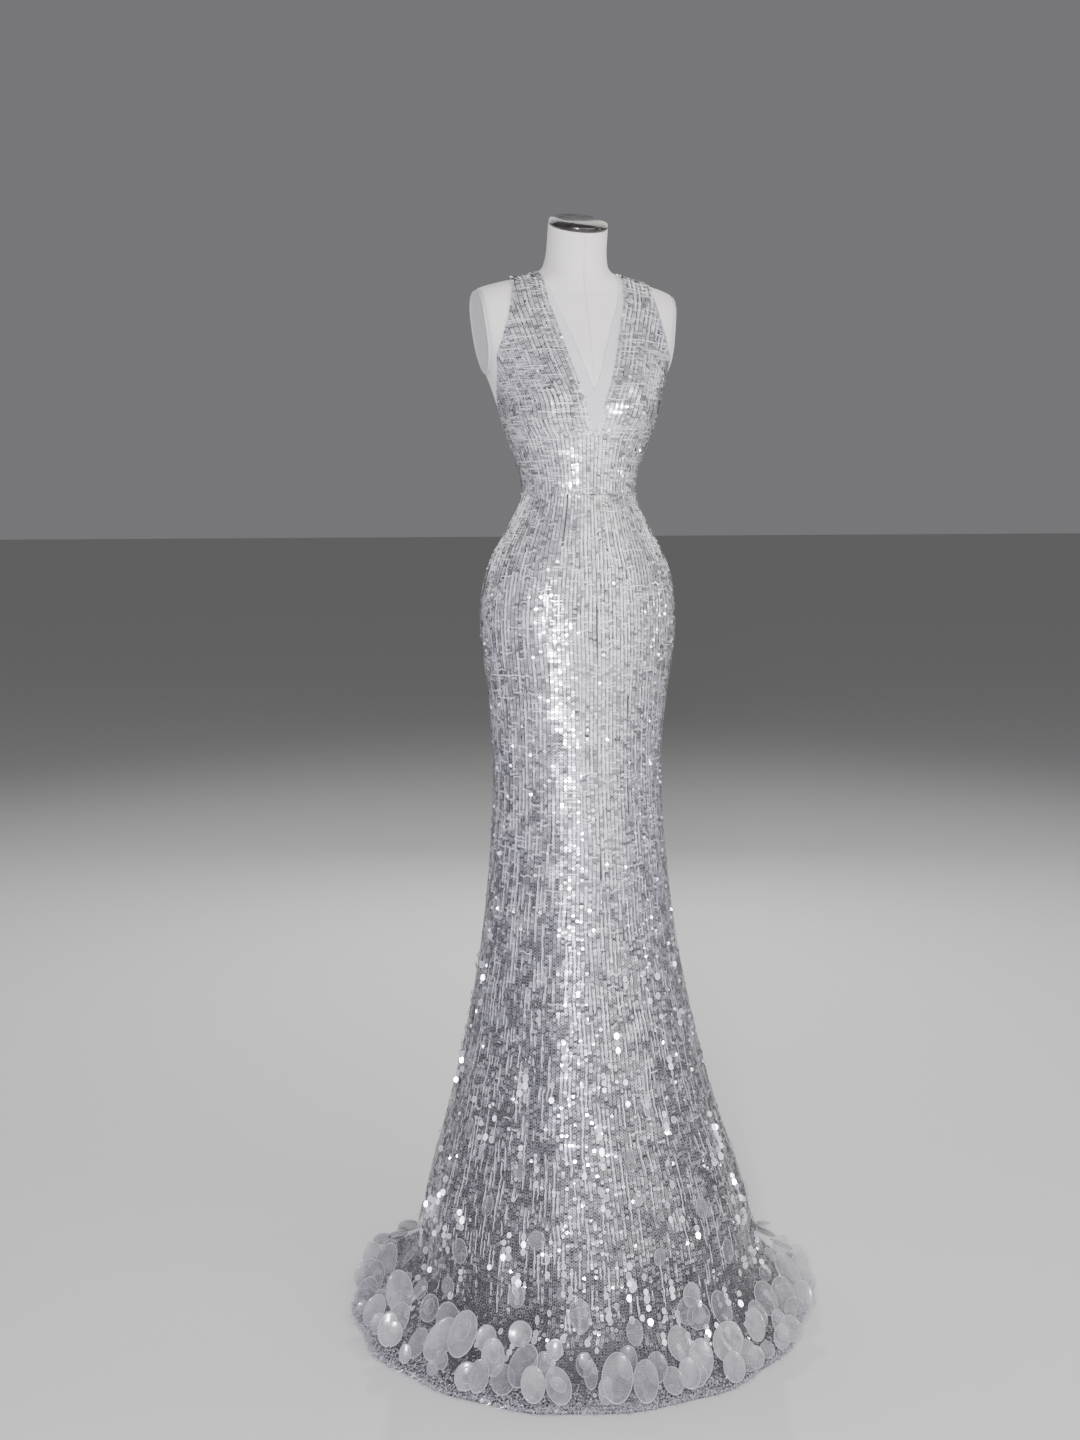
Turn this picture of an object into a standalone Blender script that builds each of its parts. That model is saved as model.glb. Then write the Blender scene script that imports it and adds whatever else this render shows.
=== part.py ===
"""Sleeveless evening gown with a plunging V front and a trumpet skirt, on a limbless dress form.

Run it with: blender --background --python part.py

The origin is the centre of the stand's underside, on the floor. +Z is up, the gown faces -Y, and +X is
the wearer's left. All sizes are in metres and all angles in the tables are in degrees.

The figure is one smooth surface, from the hem to the neck. Above FORM_BOTTOM it is the skin of the dress
form, and the cloth lies CLEARANCE outside it. Below, it is the skirt as it hangs.
"""

import math
from collections import namedtuple

import bmesh
import bpy
import numpy as np
from mathutils import Vector
from mathutils.bvhtree import BVHTree

# Heights above the floor
WAIST = 1.371
BUST = 1.518
FORM_BOTTOM = 1.020
V_BOTTOM = 1.465  # lowest point of the sequinned V
SHEER_V_BOTTOM = 1.540  # lowest point of the net that edges the V
SIDE_TOP = 1.511  # where the armhole meets the side seam
CHEST = 1.600  # above this level the shoulders are described by a fan of angles

# Cloth
CLEARANCE = 0.0015  # from the form to the cloth
CLOTH = 0.0022  # net, sequins and stitching together
NET = 0.0010  # the bare net in the V
SEAM = 0.0003  # between two pieces at a seam
CREASE = 40.0  # degrees between two faces above which their edge is shaded sharp

# Bust of the form: two soft swellings that push the front out
BUST_APEX_X = 0.078
BUST_PROUD = 0.030
BUST_SPREAD_X = 0.048
BUST_SPREAD_UP = 0.060
BUST_SPREAD_DOWN = 0.042
BUST_SIDE = 3.0  # how quickly the swelling rises from the side line

# Shoulder fan: it turns about a line along X, from level front over the top to level back
FAN_Y = 0.036
FAN_REACH = 0.120  # length on the cloth for each radian of the fan
FAN_TOP = CHEST + FAN_REACH * math.pi / 2  # the shoulder seam, measured along the cloth
FAN_END = CHEST + FAN_REACH * math.pi  # where the fan is level again, at the back
FAN_LIMIT = 0.22  # the figure ends within this distance of the fan's line
HALVINGS = 40  # steps in the search for the figure's surface along the fan

# Dress form
ARM_PLANE_X = 0.1665  # the flat arm end at the shoulder's height
ARM_PLANE_Z = 1.700
ARM_PLANE_LEAN = 6.6  # degrees that the arm end tucks in towards the waist
NECK_TOP = 1.8225  # height of the slanted cut at the neck's centre
NECK_SLANT = 22.0
NECK_CENTRE_Y = 0.008
FORM_CREASE = 35.0  # degrees, as CREASE, so that the cut ends of the form stay sharp

# Stand
BASE_RADIUS = 0.165
BASE_THICKNESS = 0.014
BASE_EDGE = 0.004
POLE_RADIUS = 0.0175
FLANGE_RADIUS = 0.060
FLANGE_THICKNESS = 0.008

# Large paillettes on the skirt's flare
PAILLETTE = 0.0016  # thickness
PAILLETTE_SIDES = 10
PAILLETTE_TILT = 4.0  # degrees that the hanging end stands away from the cloth
PAILLETTE_SEAT = 0.0004  # gap to the cloth
PAILLETTE_REACH = 0.04  # how far from a paillette the cloth under it is looked for
STRAY_TURN = 0.35  # how far a paillette strays round its ring, as a share of the ring's spacing
STRAY_HEIGHT = 0.016
STRAY_SIZE = 0.24
GOLDEN = 0.618034  # its multiples, less their whole parts, spread evenly from 0 to 1

Level = namedtuple("Level", "height half_width lean_x centre_y front back corner")
# Each level is a closed curve: a half width, a depth in front of and behind centre_y, and a corner power
# that is 2 for an ellipse and more for a squarer outline.
LEVELS = [
    Level(0.000, 0.370, 0.013, 0.047, 0.379, 0.381, 2.0),
    Level(0.020, 0.354, 0.018, 0.045, 0.364, 0.368, 2.0),
    Level(0.050, 0.314, 0.024, 0.039, 0.327, 0.333, 2.0),
    Level(0.085, 0.281, 0.025, 0.033, 0.298, 0.308, 2.0),
    Level(0.120, 0.270, 0.022, 0.028, 0.286, 0.298, 2.0),
    Level(0.160, 0.265, 0.018, 0.022, 0.276, 0.288, 2.0),
    Level(0.220, 0.254, 0.014, 0.016, 0.258, 0.268, 2.0),
    Level(0.300, 0.231, 0.009, 0.010, 0.232, 0.241, 2.0),
    Level(0.400, 0.204, 0.005, 0.006, 0.203, 0.210, 2.0),
    Level(0.520, 0.178, 0.002, 0.003, 0.174, 0.180, 2.0),
    Level(0.650, 0.157, 0.000, 0.003, 0.148, 0.154, 2.0),
    Level(0.780, 0.1445, -0.001, 0.003, 0.131, 0.138, 2.0),
    Level(0.890, 0.1395, -0.002, 0.004, 0.121, 0.129, 2.0),
    Level(0.970, 0.1415, -0.002, 0.005, 0.116, 0.124, 2.05),
    Level(1.060, 0.1515, 0.000, 0.005, 0.112, 0.120, 2.1),
    Level(1.160, 0.1630, 0.000, 0.005, 0.110, 0.120, 2.15),
    Level(1.220, 0.1580, 0.000, 0.004, 0.105, 0.112, 2.15),
    Level(1.260, 0.1465, 0.000, 0.003, 0.099, 0.103, 2.15),
    Level(1.300, 0.1260, 0.000, 0.002, 0.092, 0.093, 2.1),
    Level(1.335, 0.1065, 0.000, 0.002, 0.087, 0.086, 2.1),
    Level(1.371, 0.0925, 0.000, 0.003, 0.084, 0.083, 2.1),
    Level(1.400, 0.0950, 0.000, 0.005, 0.088, 0.084, 2.1),
    Level(1.440, 0.1075, 0.000, 0.008, 0.095, 0.087, 2.15),
    Level(1.480, 0.1230, 0.000, 0.012, 0.101, 0.090, 2.2),
    Level(1.530, 0.1380, 0.000, 0.018, 0.106, 0.094, 2.25),
    Level(1.570, 0.1520, 0.000, 0.023, 0.107, 0.097, 2.3),
    Level(1.610, 0.1700, 0.000, 0.029, 0.103, 0.096, 2.4),
    Level(1.660, 0.1860, 0.000, 0.036, 0.092, 0.089, 2.4),
    Level(1.698, 0.1860, 0.000, 0.038, 0.078, 0.077, 2.4),
    Level(1.709, 0.1770, 0.000, 0.038, 0.073, 0.071, 2.3),
    Level(1.719, 0.1560, 0.000, 0.036, 0.068, 0.065, 2.2),
    Level(1.727, 0.1270, 0.000, 0.034, 0.064, 0.061, 2.1),
    Level(1.735, 0.0950, 0.000, 0.032, 0.061, 0.058, 2.0),
    Level(1.742, 0.0720, 0.000, 0.030, 0.059, 0.056, 2.0),
    Level(1.749, 0.0600, 0.000, 0.027, 0.057, 0.054, 2.0),
    Level(1.760, 0.0540, 0.000, 0.023, 0.054, 0.052, 2.0),
    Level(1.800, 0.0505, 0.000, 0.012, 0.051, 0.051, 2.0),
    Level(1.870, 0.0500, 0.000, -0.004, 0.051, 0.051, 2.0),
]

Fold = namedtuple("Fold", "angle spread depth top")
# Soft flutes of the flare, as ridges: the angle from the front centre towards the wearer's left, the half
# width of the ridge, how far it stands out at the hem, and the height at which it dies out.
FOLDS = [
    Fold(-4.0, 9.0, 0.0060, 0.62),
    Fold(21.0, 8.0, 0.0100, 0.80),
    Fold(46.0, 9.0, 0.0080, 0.66),
    Fold(71.0, 8.0, 0.0120, 0.84),
    Fold(97.0, 10.0, 0.0090, 0.70),
    Fold(126.0, 9.0, 0.0110, 0.78),
    Fold(151.0, 8.0, 0.0080, 0.64),
    Fold(178.0, 10.0, 0.0120, 0.86),
    Fold(207.0, 8.0, 0.0090, 0.68),
    Fold(233.0, 9.0, 0.0110, 0.80),
    Fold(261.0, 9.0, 0.0085, 0.66),
    Fold(287.0, 8.0, 0.0115, 0.82),
    Fold(311.0, 9.0, 0.0075, 0.60),
    Fold(333.0, 8.0, 0.0095, 0.74),
]
FOLD_FADE = 1.4  # power by which a fold fades from the hem to its top

Band = namedtuple("Band", "bottom top rows")
# How closely the levels of the meshes follow each other.
SKIRT_BANDS = [
    Band(0.00, 0.12, 5),
    Band(0.12, 0.30, 3),
    Band(0.30, FORM_BOTTOM, 6),
    Band(FORM_BOTTOM, 1.20, 4),
    Band(1.20, WAIST, 7),
]
BODICE_BANDS = [Band(WAIST, CHEST, 12)]
SHOULDER_BANDS = [Band(CHEST, 1.690, 4), Band(1.690, 1.765, 15), Band(1.765, 1.870, 3)]
TORSO_COLUMNS = 48
PANEL_COLUMNS = 13  # for each quarter of the skirt
RIM_POINTS = 32  # round the neck cap and round each arm plate
BODICE_COLUMNS = 11
FAN_ROWS = 14
CROWDING = 1.5  # how much closer the rows lie at the shoulder seam than away from it

Edge = namedtuple("Edge", "along value")
# Edges of the upper pieces. "along" is the height, and above CHEST the length along the cloth over the
# shoulder.
NECK_EDGE_X = [
    Edge(V_BOTTOM, 0.0),
    Edge(1.475, 0.0055),
    Edge(1.499, 0.0130),
    Edge(1.529, 0.0215),
    Edge(1.554, 0.0300),
    Edge(CHEST, 0.0430),
    Edge(1.667, 0.0575),
    Edge(1.709, 0.0670),
    Edge(FAN_TOP, 0.0725),
]
SHEER_EDGE_X = [
    Edge(SHEER_V_BOTTOM, 0.0),
    Edge(1.560, 0.0085),
    Edge(CHEST, 0.0215),
    Edge(1.660, 0.0390),
    Edge(1.710, 0.0560),
    Edge(FAN_TOP, 0.0685),
]
ARM_EDGE_ANGLE = [
    Edge(WAIST, 90.0),
    Edge(SIDE_TOP, 90.0),
    Edge(1.529, 84.0),
    Edge(1.554, 73.0),
    Edge(1.580, 63.0),
    Edge(CHEST, 57.5),
]
ARM_EDGE_X = [Edge(1.667, 0.1330), Edge(1.709, 0.1235), Edge(FAN_TOP, 0.1100)]
BACK_TOP_HEIGHT = [
    Edge(90.0, SIDE_TOP),
    Edge(101.0, 1.468),
    Edge(115.0, 1.440),
    Edge(135.0, 1.422),
    Edge(180.0, 1.412),
]
STRAP_LENGTH = 0.190  # from the level of the chest down the back
STRAP_INNER_X = [Edge(FAN_TOP, 0.0725), Edge(FAN_END, 0.0580), Edge(FAN_END + STRAP_LENGTH, 0.0260)]
STRAP_OUTER_X = [Edge(FAN_TOP, 0.1100), Edge(FAN_END, 0.0960), Edge(FAN_END + STRAP_LENGTH, 0.0640)]
STRAP_FOOT = 1.415  # about the height at which a strap meets the low back
STRAP_ROWS = 18
STRAP_COLUMNS = 4
BACK_COLUMNS = 12
BACK_ROWS = 5
SHEER_ROWS = 20  # for each arm of the V
SHEER_COLUMNS = 3
SHEER_FOOT = 0.004  # how far the net stops above the lowest point of the sequinned V

Layer = namedtuple("Layer", "rise share")
# Plates that lie on a flat cut of the form: how far each layer lies off the cut, and its size as a share of
# the cut.
CAP_LAYERS = [
    Layer(SEAM, 0.985),
    Layer(0.0070, 0.985),
    Layer(0.0095, 0.950),
    Layer(0.0125, 0.780),
    Layer(0.0142, 0.450),
]
PLATE_LAYERS = [Layer(SEAM, 0.965), Layer(0.0035, 0.965), Layer(0.0050, 0.930)]

Ring = namedtuple("Ring", "height count width length phase")
# Rings of large paillettes round the flare.
PAILLETTE_RINGS = [
    Ring(0.052, 14, 0.047, 0.060, 0.00),
    Ring(0.128, 12, 0.042, 0.064, 0.45),
    Ring(0.212, 8, 0.034, 0.048, 0.15),
    Ring(0.290, 4, 0.030, 0.040, 0.60),
]

Finish = namedtuple("Finish", "red green blue roughness metallic")
SEQUINS = Finish(0.62, 0.62, 0.66, 0.25, 0.6)
NET_WHITE = Finish(0.80, 0.80, 0.80, 0.80, 0.0)
LINEN = Finish(0.80, 0.77, 0.73, 0.85, 0.0)
DARK_WOOD = Finish(0.02, 0.015, 0.012, 0.25, 0.0)
BLACK_STEEL = Finish(0.03, 0.03, 0.03, 0.40, 0.8)
PEARL = Finish(0.75, 0.76, 0.80, 0.20, 0.0)


# ---------------------------------------------------------------- smooth curves through the tables


def smooth(xs, ys, x):
    """Monotone cubic curve through the points (xs, ys), read at x. It never swings past its points."""
    xs, ys, x = (np.asarray(v, float) for v in (xs, ys, x))
    steps = np.diff(xs)
    rises = np.diff(ys) / steps
    before, after = rises[:-1], rises[1:]
    agree = before * after > 0
    weight_a, weight_b = 2 * steps[1:] + steps[:-1], steps[1:] + 2 * steps[:-1]
    shares = weight_a / np.where(agree, before, 1) + weight_b / np.where(agree, after, 1)
    mean = (weight_a + weight_b) / shares
    slopes = np.concatenate([rises[:1], np.where(agree, mean, 0.0), rises[-1:]])
    x = np.clip(x, xs[0], xs[-1])
    i = np.clip(np.searchsorted(xs, x, side="right") - 1, 0, len(steps) - 1)
    t = (x - xs[i]) / steps[i]
    start = (1 + 2 * t) * (1 - t) ** 2 * ys[i] + t * (1 - t) ** 2 * steps[i] * slopes[i]
    end = t**2 * (3 - 2 * t) * ys[i + 1] + t**2 * (t - 1) * steps[i] * slopes[i + 1]
    return start + end


def read(edge, along):
    """The value of an edge table at a length along it."""
    return smooth([row.along for row in edge], [row.value for row in edge], along)


def spline(xs, ys, x):
    """Natural cubic spline through the points (xs, ys), read at x: its bend is continuous as well."""
    xs, ys, x = (np.asarray(v, float) for v in (xs, ys, x))
    steps = np.diff(xs)
    rises = np.diff(ys) / steps
    system = np.eye(len(xs))
    change = np.zeros(len(xs))
    for k in range(1, len(xs) - 1):
        system[k, k - 1 : k + 2] = steps[k - 1], 2 * (steps[k - 1] + steps[k]), steps[k]
        change[k] = 6 * (rises[k] - rises[k - 1])
    bend = np.linalg.solve(system, change)
    x = np.clip(x, xs[0], xs[-1])
    i = np.clip(np.searchsorted(xs, x, side="right") - 1, 0, len(steps) - 1)
    past, left, step = x - xs[i], xs[i + 1] - x, steps[i]
    line = (ys[i] * left + ys[i + 1] * past) / step
    curl_left, curl_past = left**3 / step - step * left, past**3 / step - step * past
    return line + (bend[i] * curl_left + bend[i + 1] * curl_past) / 6


def column(name, height):
    """One column of LEVELS, read at a height."""
    return spline([row.height for row in LEVELS], [getattr(row, name) for row in LEVELS], height)


def bands(*tables):
    """All the heights that the bands name, lowest first."""
    heights = [tables[0][0].bottom]
    for table in tables:
        for band in table:
            heights.extend(np.linspace(band.bottom, band.top, band.rows + 1)[1:])
    return np.array(heights)


# ---------------------------------------------------------------- the figure


def ahead_share(x, height):
    """How far ahead of the side line the figure reaches at x, from 0 at the side to 1 at the centre."""
    power = column("corner", height)
    share = np.clip(np.abs(x) / column("half_width", height), 0, 1)
    return (1 - share**power) ** (1 / power)


def bust(x, height):
    """How far the bust pushes the front out at a place. It dies out at the side line."""
    above = np.where(height > BUST, BUST_SPREAD_UP, BUST_SPREAD_DOWN)
    across = (np.abs(x) - BUST_APEX_X) / BUST_SPREAD_X
    swell = BUST_PROUD * np.exp(-(across**2) - ((height - BUST) / above) ** 2)
    return swell * np.clip(ahead_share(x, height) * BUST_SIDE, 0, 1)


def flutes(angle, height):
    """How far the folds of the flare stand out, for an angle in radians."""
    out = np.zeros(np.broadcast(angle, height).shape)
    for fold in FOLDS:
        away = (np.degrees(angle) - fold.angle + 180) % 360 - 180
        fade = np.clip(1 - height / fold.top, 0, 1) ** FOLD_FADE
        out = out + fold.depth * fade * np.exp(-((away / fold.spread) ** 2))
    return out


def figure(angle, height):
    """Points of the figure by the angle round it, from 0 at the front centre to the wearer's left."""
    angle, height = np.broadcast_arrays(np.asarray(angle, float), np.asarray(height, float))
    power = column("corner", height)
    across, ahead = np.sin(angle), np.cos(angle)
    swell = (np.abs(across) ** power + np.abs(ahead) ** power) ** (-1 / power)
    folds = flutes(angle, height)
    depth = np.where(ahead > 0, column("front", height), column("back", height)) + folds
    x = (column("half_width", height) + folds) * across * swell
    y = column("centre_y", height) - depth * ahead * swell
    y = y - np.where(ahead > 0, bust(x, height), 0.0)
    return np.stack([x + column("lean_x", height), y, height], axis=-1)


def angle_at(x, height, back=False):
    """The angle at which the figure is x wide at a height, at the front or at the back."""
    angle = np.arctan2(x / column("half_width", height), ahead_share(x, height))
    return np.pi - angle if back else angle


def inside(x, y, height):
    """Below 1 inside the figure and above 1 outside it, for the body above the skirt's folds."""
    power = column("corner", height)
    front = y < column("centre_y", height)
    ahead = np.where(front, -1, 1) * (y - column("centre_y", height)) - np.where(front, bust(x, height), 0)
    depth = np.where(front, column("front", height), column("back", height))
    return (np.abs(x) / column("half_width", height)) ** power + (np.maximum(ahead, 0) / depth) ** power


def over_shoulder(x, along):
    """Points of the figure by x and the length along the cloth, up the front, over and down the back."""
    x, along = np.broadcast_arrays(np.asarray(x, float), np.asarray(along, float))
    turn = np.clip((along - CHEST) / FAN_REACH, 0, np.pi)
    drop = np.minimum(along - CHEST, 0) - np.maximum(along - FAN_END, 0)
    near, far = np.zeros(x.shape), np.full(x.shape, FAN_LIMIT)
    for _ in range(HALVINGS):
        middle = (near + far) / 2
        outside = inside(x, FAN_Y - middle * np.cos(turn), CHEST + drop + middle * np.sin(turn)) > 1
        near, far = np.where(outside, near, middle), np.where(outside, middle, far)
    return np.stack([x, FAN_Y - near * np.cos(turn), CHEST + drop + near * np.sin(turn)], axis=-1)


def outward(chart, u, v, step=1e-4):
    """Unit normals of a chart, which is a function of two parameters, pointing out of the figure."""
    along_u = chart(u + step, v) - chart(u - step, v)
    along_v = chart(u, v + step) - chart(u, v - step)
    normal = np.cross(along_u, along_v)
    return normal / np.linalg.norm(normal, axis=-1, keepdims=True)


def mirrored(points):
    """The same points on the wearer's other side, in an order that keeps the faces pointing out."""
    return (points * np.array([-1, 1, 1]))[:, ::-1]


# ---------------------------------------------------------------- making objects


def clear_scene():
    for existing in list(bpy.data.objects):
        bpy.data.objects.remove(existing)


def material(name, finish):
    made = bpy.data.materials.new(name)
    made.use_nodes = True
    shader = made.node_tree.nodes["Principled BSDF"]
    shader.inputs["Base Color"].default_value = (finish.red, finish.green, finish.blue, 1)
    shader.inputs["Roughness"].default_value = finish.roughness
    shader.inputs["Metallic"].default_value = finish.metallic
    return made


def add_object(name, points, faces, made_of):
    mesh = bpy.data.meshes.new(name)
    mesh.from_pydata([tuple(p) for p in points], [], faces)
    mesh.materials.append(made_of)
    mesh.shade_smooth()
    mesh.set_sharp_from_angle(angle=math.radians(CREASE))
    made = bpy.data.objects.new(name, mesh)
    bpy.context.scene.collection.objects.link(made)
    return made


def wall(name, inner, outer, made_of):
    """A closed wall between two grids of points of the same size, the outer one facing out."""
    rows, columns = inner.shape[:2]

    def at(layer, row, col):
        return (layer * rows + row) * columns + col

    faces = []
    for row in range(rows - 1):
        for col in range(columns - 1):
            corners = [(row, col), (row, col + 1), (row + 1, col + 1), (row + 1, col)]
            faces.append([at(1, *c) for c in corners])
            faces.append([at(0, *c) for c in reversed(corners)])
    around = [(0, col) for col in range(columns)]
    around += [(row, columns - 1) for row in range(1, rows)]
    around += [(rows - 1, col) for col in range(columns - 2, -1, -1)]
    around += [(row, 0) for row in range(rows - 2, 0, -1)]
    for here, there in zip(around, around[1:] + around[:1]):
        faces.append([at(0, *here), at(0, *there), at(1, *there), at(1, *here)])
    points = np.concatenate([inner.reshape(-1, 3), outer.reshape(-1, 3)])
    return add_object(name, points, faces, made_of)


def stack(name, rings, made_of):
    """A closed body through rings of points, lowest first, with a fan of faces over each end."""
    count = len(rings[0])
    points = [p for ring in rings for p in ring]
    points += [np.mean(rings[0], axis=0), np.mean(rings[-1], axis=0)]
    bottom, top = len(points) - 2, len(points) - 1
    faces = []
    for k in range(count):
        following = (k + 1) % count
        for level in range(len(rings) - 1):
            low, high = level * count, (level + 1) * count
            faces.append([low + k, low + following, high + following, high + k])
        last = (len(rings) - 1) * count
        faces.append([bottom, following, k])
        faces.append([top, last + k, last + following])
    return add_object(name, points, faces, made_of)


def turned(name, profile, steps, made_of):
    """A round body spun from (radius, height) pairs, from its lowest to its highest point."""
    mesh = bmesh.new()
    line = [mesh.verts.new((radius, 0, height)) for radius, height in profile]
    edges = [mesh.edges.new(pair) for pair in zip(line, line[1:])]
    bmesh.ops.spin(
        mesh,
        geom=line + edges,
        cent=(0, 0, 0),
        axis=(0, 0, 1),
        angle=2 * math.pi,
        steps=steps,
        use_merge=True,
    )
    bmesh.ops.remove_doubles(mesh, verts=mesh.verts, dist=1e-6)
    bmesh.ops.recalc_face_normals(mesh, faces=mesh.faces)
    data = bpy.data.meshes.new(name)
    mesh.to_mesh(data)
    mesh.free()
    data.materials.append(made_of)
    data.shade_smooth()
    data.set_sharp_from_angle(angle=math.radians(CREASE))
    made = bpy.data.objects.new(name, data)
    bpy.context.scene.collection.objects.link(made)
    return made


def in_order(vertices):
    """The places of a ring of vertices, one after the other round its middle."""
    places = np.array([v.co for v in vertices])
    middle = places.mean(axis=0)
    first, second = np.linalg.svd(places - middle)[2][:2]
    turn = np.arctan2((places - middle) @ second, (places - middle) @ first)
    return places[np.argsort(turn)]


# ---------------------------------------------------------------- the dress form and its stand


def evenly(ring, count):
    """A closed ring of points, read again at even steps along its length."""
    closed = np.concatenate([ring, ring[:1]])
    length = np.concatenate([[0], np.cumsum(np.linalg.norm(np.diff(closed, axis=0), axis=1))])
    places = np.linspace(0, length[-1], count, endpoint=False)
    return np.stack([np.interp(places, length, closed[:, axis]) for axis in range(3)], axis=-1)


def cut_flat(mesh, place, normal, above=0.0):
    """Cuts the upper part of a closed mesh flat, and returns the ring of points round the cut."""
    faces = [f for f in mesh.faces if min(v.co.z for v in f.verts) > above]
    vertices = list({v for f in faces for v in f.verts})
    edges = list({e for f in faces for e in f.edges})
    cut = bmesh.ops.bisect_plane(
        mesh,
        geom=vertices + edges + faces,
        plane_co=place,
        plane_no=normal,
        clear_outer=True,
        dist=1e-6,
    )
    rim = [e for e in cut["geom_cut"] if isinstance(e, bmesh.types.BMEdge)]
    bmesh.ops.contextual_create(mesh, geom=rim)
    return evenly(in_order({v for e in rim for v in e.verts}), RIM_POINTS)


def build_form(linen, wood):
    """The torso with its neck, the slanted neck cap and the two flat arm plates."""
    heights = bands([b for b in SKIRT_BANDS if b.bottom >= FORM_BOTTOM], BODICE_BANDS, SHOULDER_BANDS)
    angles = np.arange(TORSO_COLUMNS) * 2 * math.pi / TORSO_COLUMNS
    torso = stack("form_torso", [figure(angles, height) for height in heights], linen)
    mesh = bmesh.new()
    mesh.from_mesh(torso.data)
    slant = math.radians(NECK_SLANT)
    up = Vector((0, -math.sin(slant), math.cos(slant)))
    neck_ring = cut_flat(mesh, Vector((0, NECK_CENTRE_Y, NECK_TOP)), up)
    lean = math.radians(ARM_PLANE_LEAN)
    arm_rings = {}
    for side, sign in (("left", 1), ("right", -1)):
        away = Vector((sign * math.cos(lean), 0, -math.sin(lean)))
        ring = cut_flat(mesh, Vector((sign * ARM_PLANE_X, 0, ARM_PLANE_Z)), away, above=WAIST)
        arm_rings[side] = (ring, away)
    bmesh.ops.recalc_face_normals(mesh, faces=mesh.faces)
    mesh.to_mesh(torso.data)
    mesh.free()
    torso.data.shade_smooth()
    torso.data.set_sharp_from_angle(angle=math.radians(FORM_CREASE))
    lay_on("form_neck_cap", neck_ring, up, CAP_LAYERS, wood)
    for side, (ring, away) in arm_rings.items():
        lay_on("form_arm_plate_" + side, ring, away, PLATE_LAYERS, linen)


def lay_on(name, ring, normal, layers, made_of):
    """A plate on a flat face, from the face's own ring: each layer is moved out and drawn in to a share."""
    middle = ring.mean(axis=0)
    shapes = [middle + (ring - middle) * share + np.array(normal) * rise for rise, share in layers]
    made = stack(name, shapes, made_of)
    mesh = bmesh.new()
    mesh.from_mesh(made.data)
    bmesh.ops.recalc_face_normals(mesh, faces=mesh.faces)
    mesh.to_mesh(made.data)
    mesh.free()


def rod(radius, bottom, top):
    """The profile of a plain round bar or disc."""
    return [(0, bottom), (radius, bottom), (radius, top), (0, top)]


def build_stand(steel):
    """A round foot plate, a pole, and the flange that carries the form."""
    foot = [
        (0, 0),
        (BASE_RADIUS - BASE_EDGE / 2, 0),
        (BASE_RADIUS, BASE_EDGE / 2),
        (BASE_RADIUS, BASE_THICKNESS - BASE_EDGE),
        (BASE_RADIUS - BASE_EDGE, BASE_THICKNESS),
        (0, BASE_THICKNESS),
    ]
    turned("stand_base", foot, 48, steel)
    flange_top = FORM_BOTTOM - SEAM
    flange_bottom = flange_top - FLANGE_THICKNESS
    turned("stand_pole", rod(POLE_RADIUS, BASE_THICKNESS + SEAM, flange_bottom - SEAM), 24, steel)
    turned("stand_flange", rod(FLANGE_RADIUS, flange_bottom, flange_top), 24, steel)


# ---------------------------------------------------------------- the gown


def moved_out(chart, u, v, distances, level_rows=()):
    """Grids of points at distances outside a chart. Rows in level_rows move out level, along a seam."""
    base, normal = chart(u, v), outward(chart, u, v)
    for row in level_rows:
        normal[row, :, 2] = 0
        normal[row] /= np.linalg.norm(normal[row], axis=-1, keepdims=True)
    return [base + normal * distance for distance in distances]


def cloth_wall(name, chart, u, v, made_of, thickness=CLOTH, level_rows=(), mirror=False):
    inner, outer = moved_out(chart, u, v, (CLEARANCE, CLEARANCE + thickness), level_rows)
    if mirror:
        inner, outer = mirrored(inner), mirrored(outer)
    return wall(name, inner, outer, made_of)


def between(start, end, count):
    """Rows of count + 1 evenly spaced values from each start to each end."""
    share = np.linspace(0, 1, count + 1)
    return np.asarray(start)[:, None] * (1 - share) + np.asarray(end)[:, None] * share


def build_skirt(made_of):
    """Two front and two back panels, from the waist seam to the floor, with seams between them."""
    heights = bands(SKIRT_BANDS)
    heights[-1] = WAIST - SEAM / 2
    edge = (SEAM / 2) / column("half_width", heights)
    rows = np.repeat(heights[:, None], PANEL_COLUMNS + 1, axis=1)
    ends = (0, len(heights) - 1)
    quarter = math.pi / 2
    made = []
    for name, turn in (("front_left", 0), ("back_left", 1), ("back_right", 2), ("front_right", 3)):
        angles = between(turn * quarter + edge, (turn + 1) * quarter - edge, PANEL_COLUMNS)
        made.append(cloth_wall("skirt_" + name, figure, angles, rows, made_of, level_rows=ends))
    return made


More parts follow.
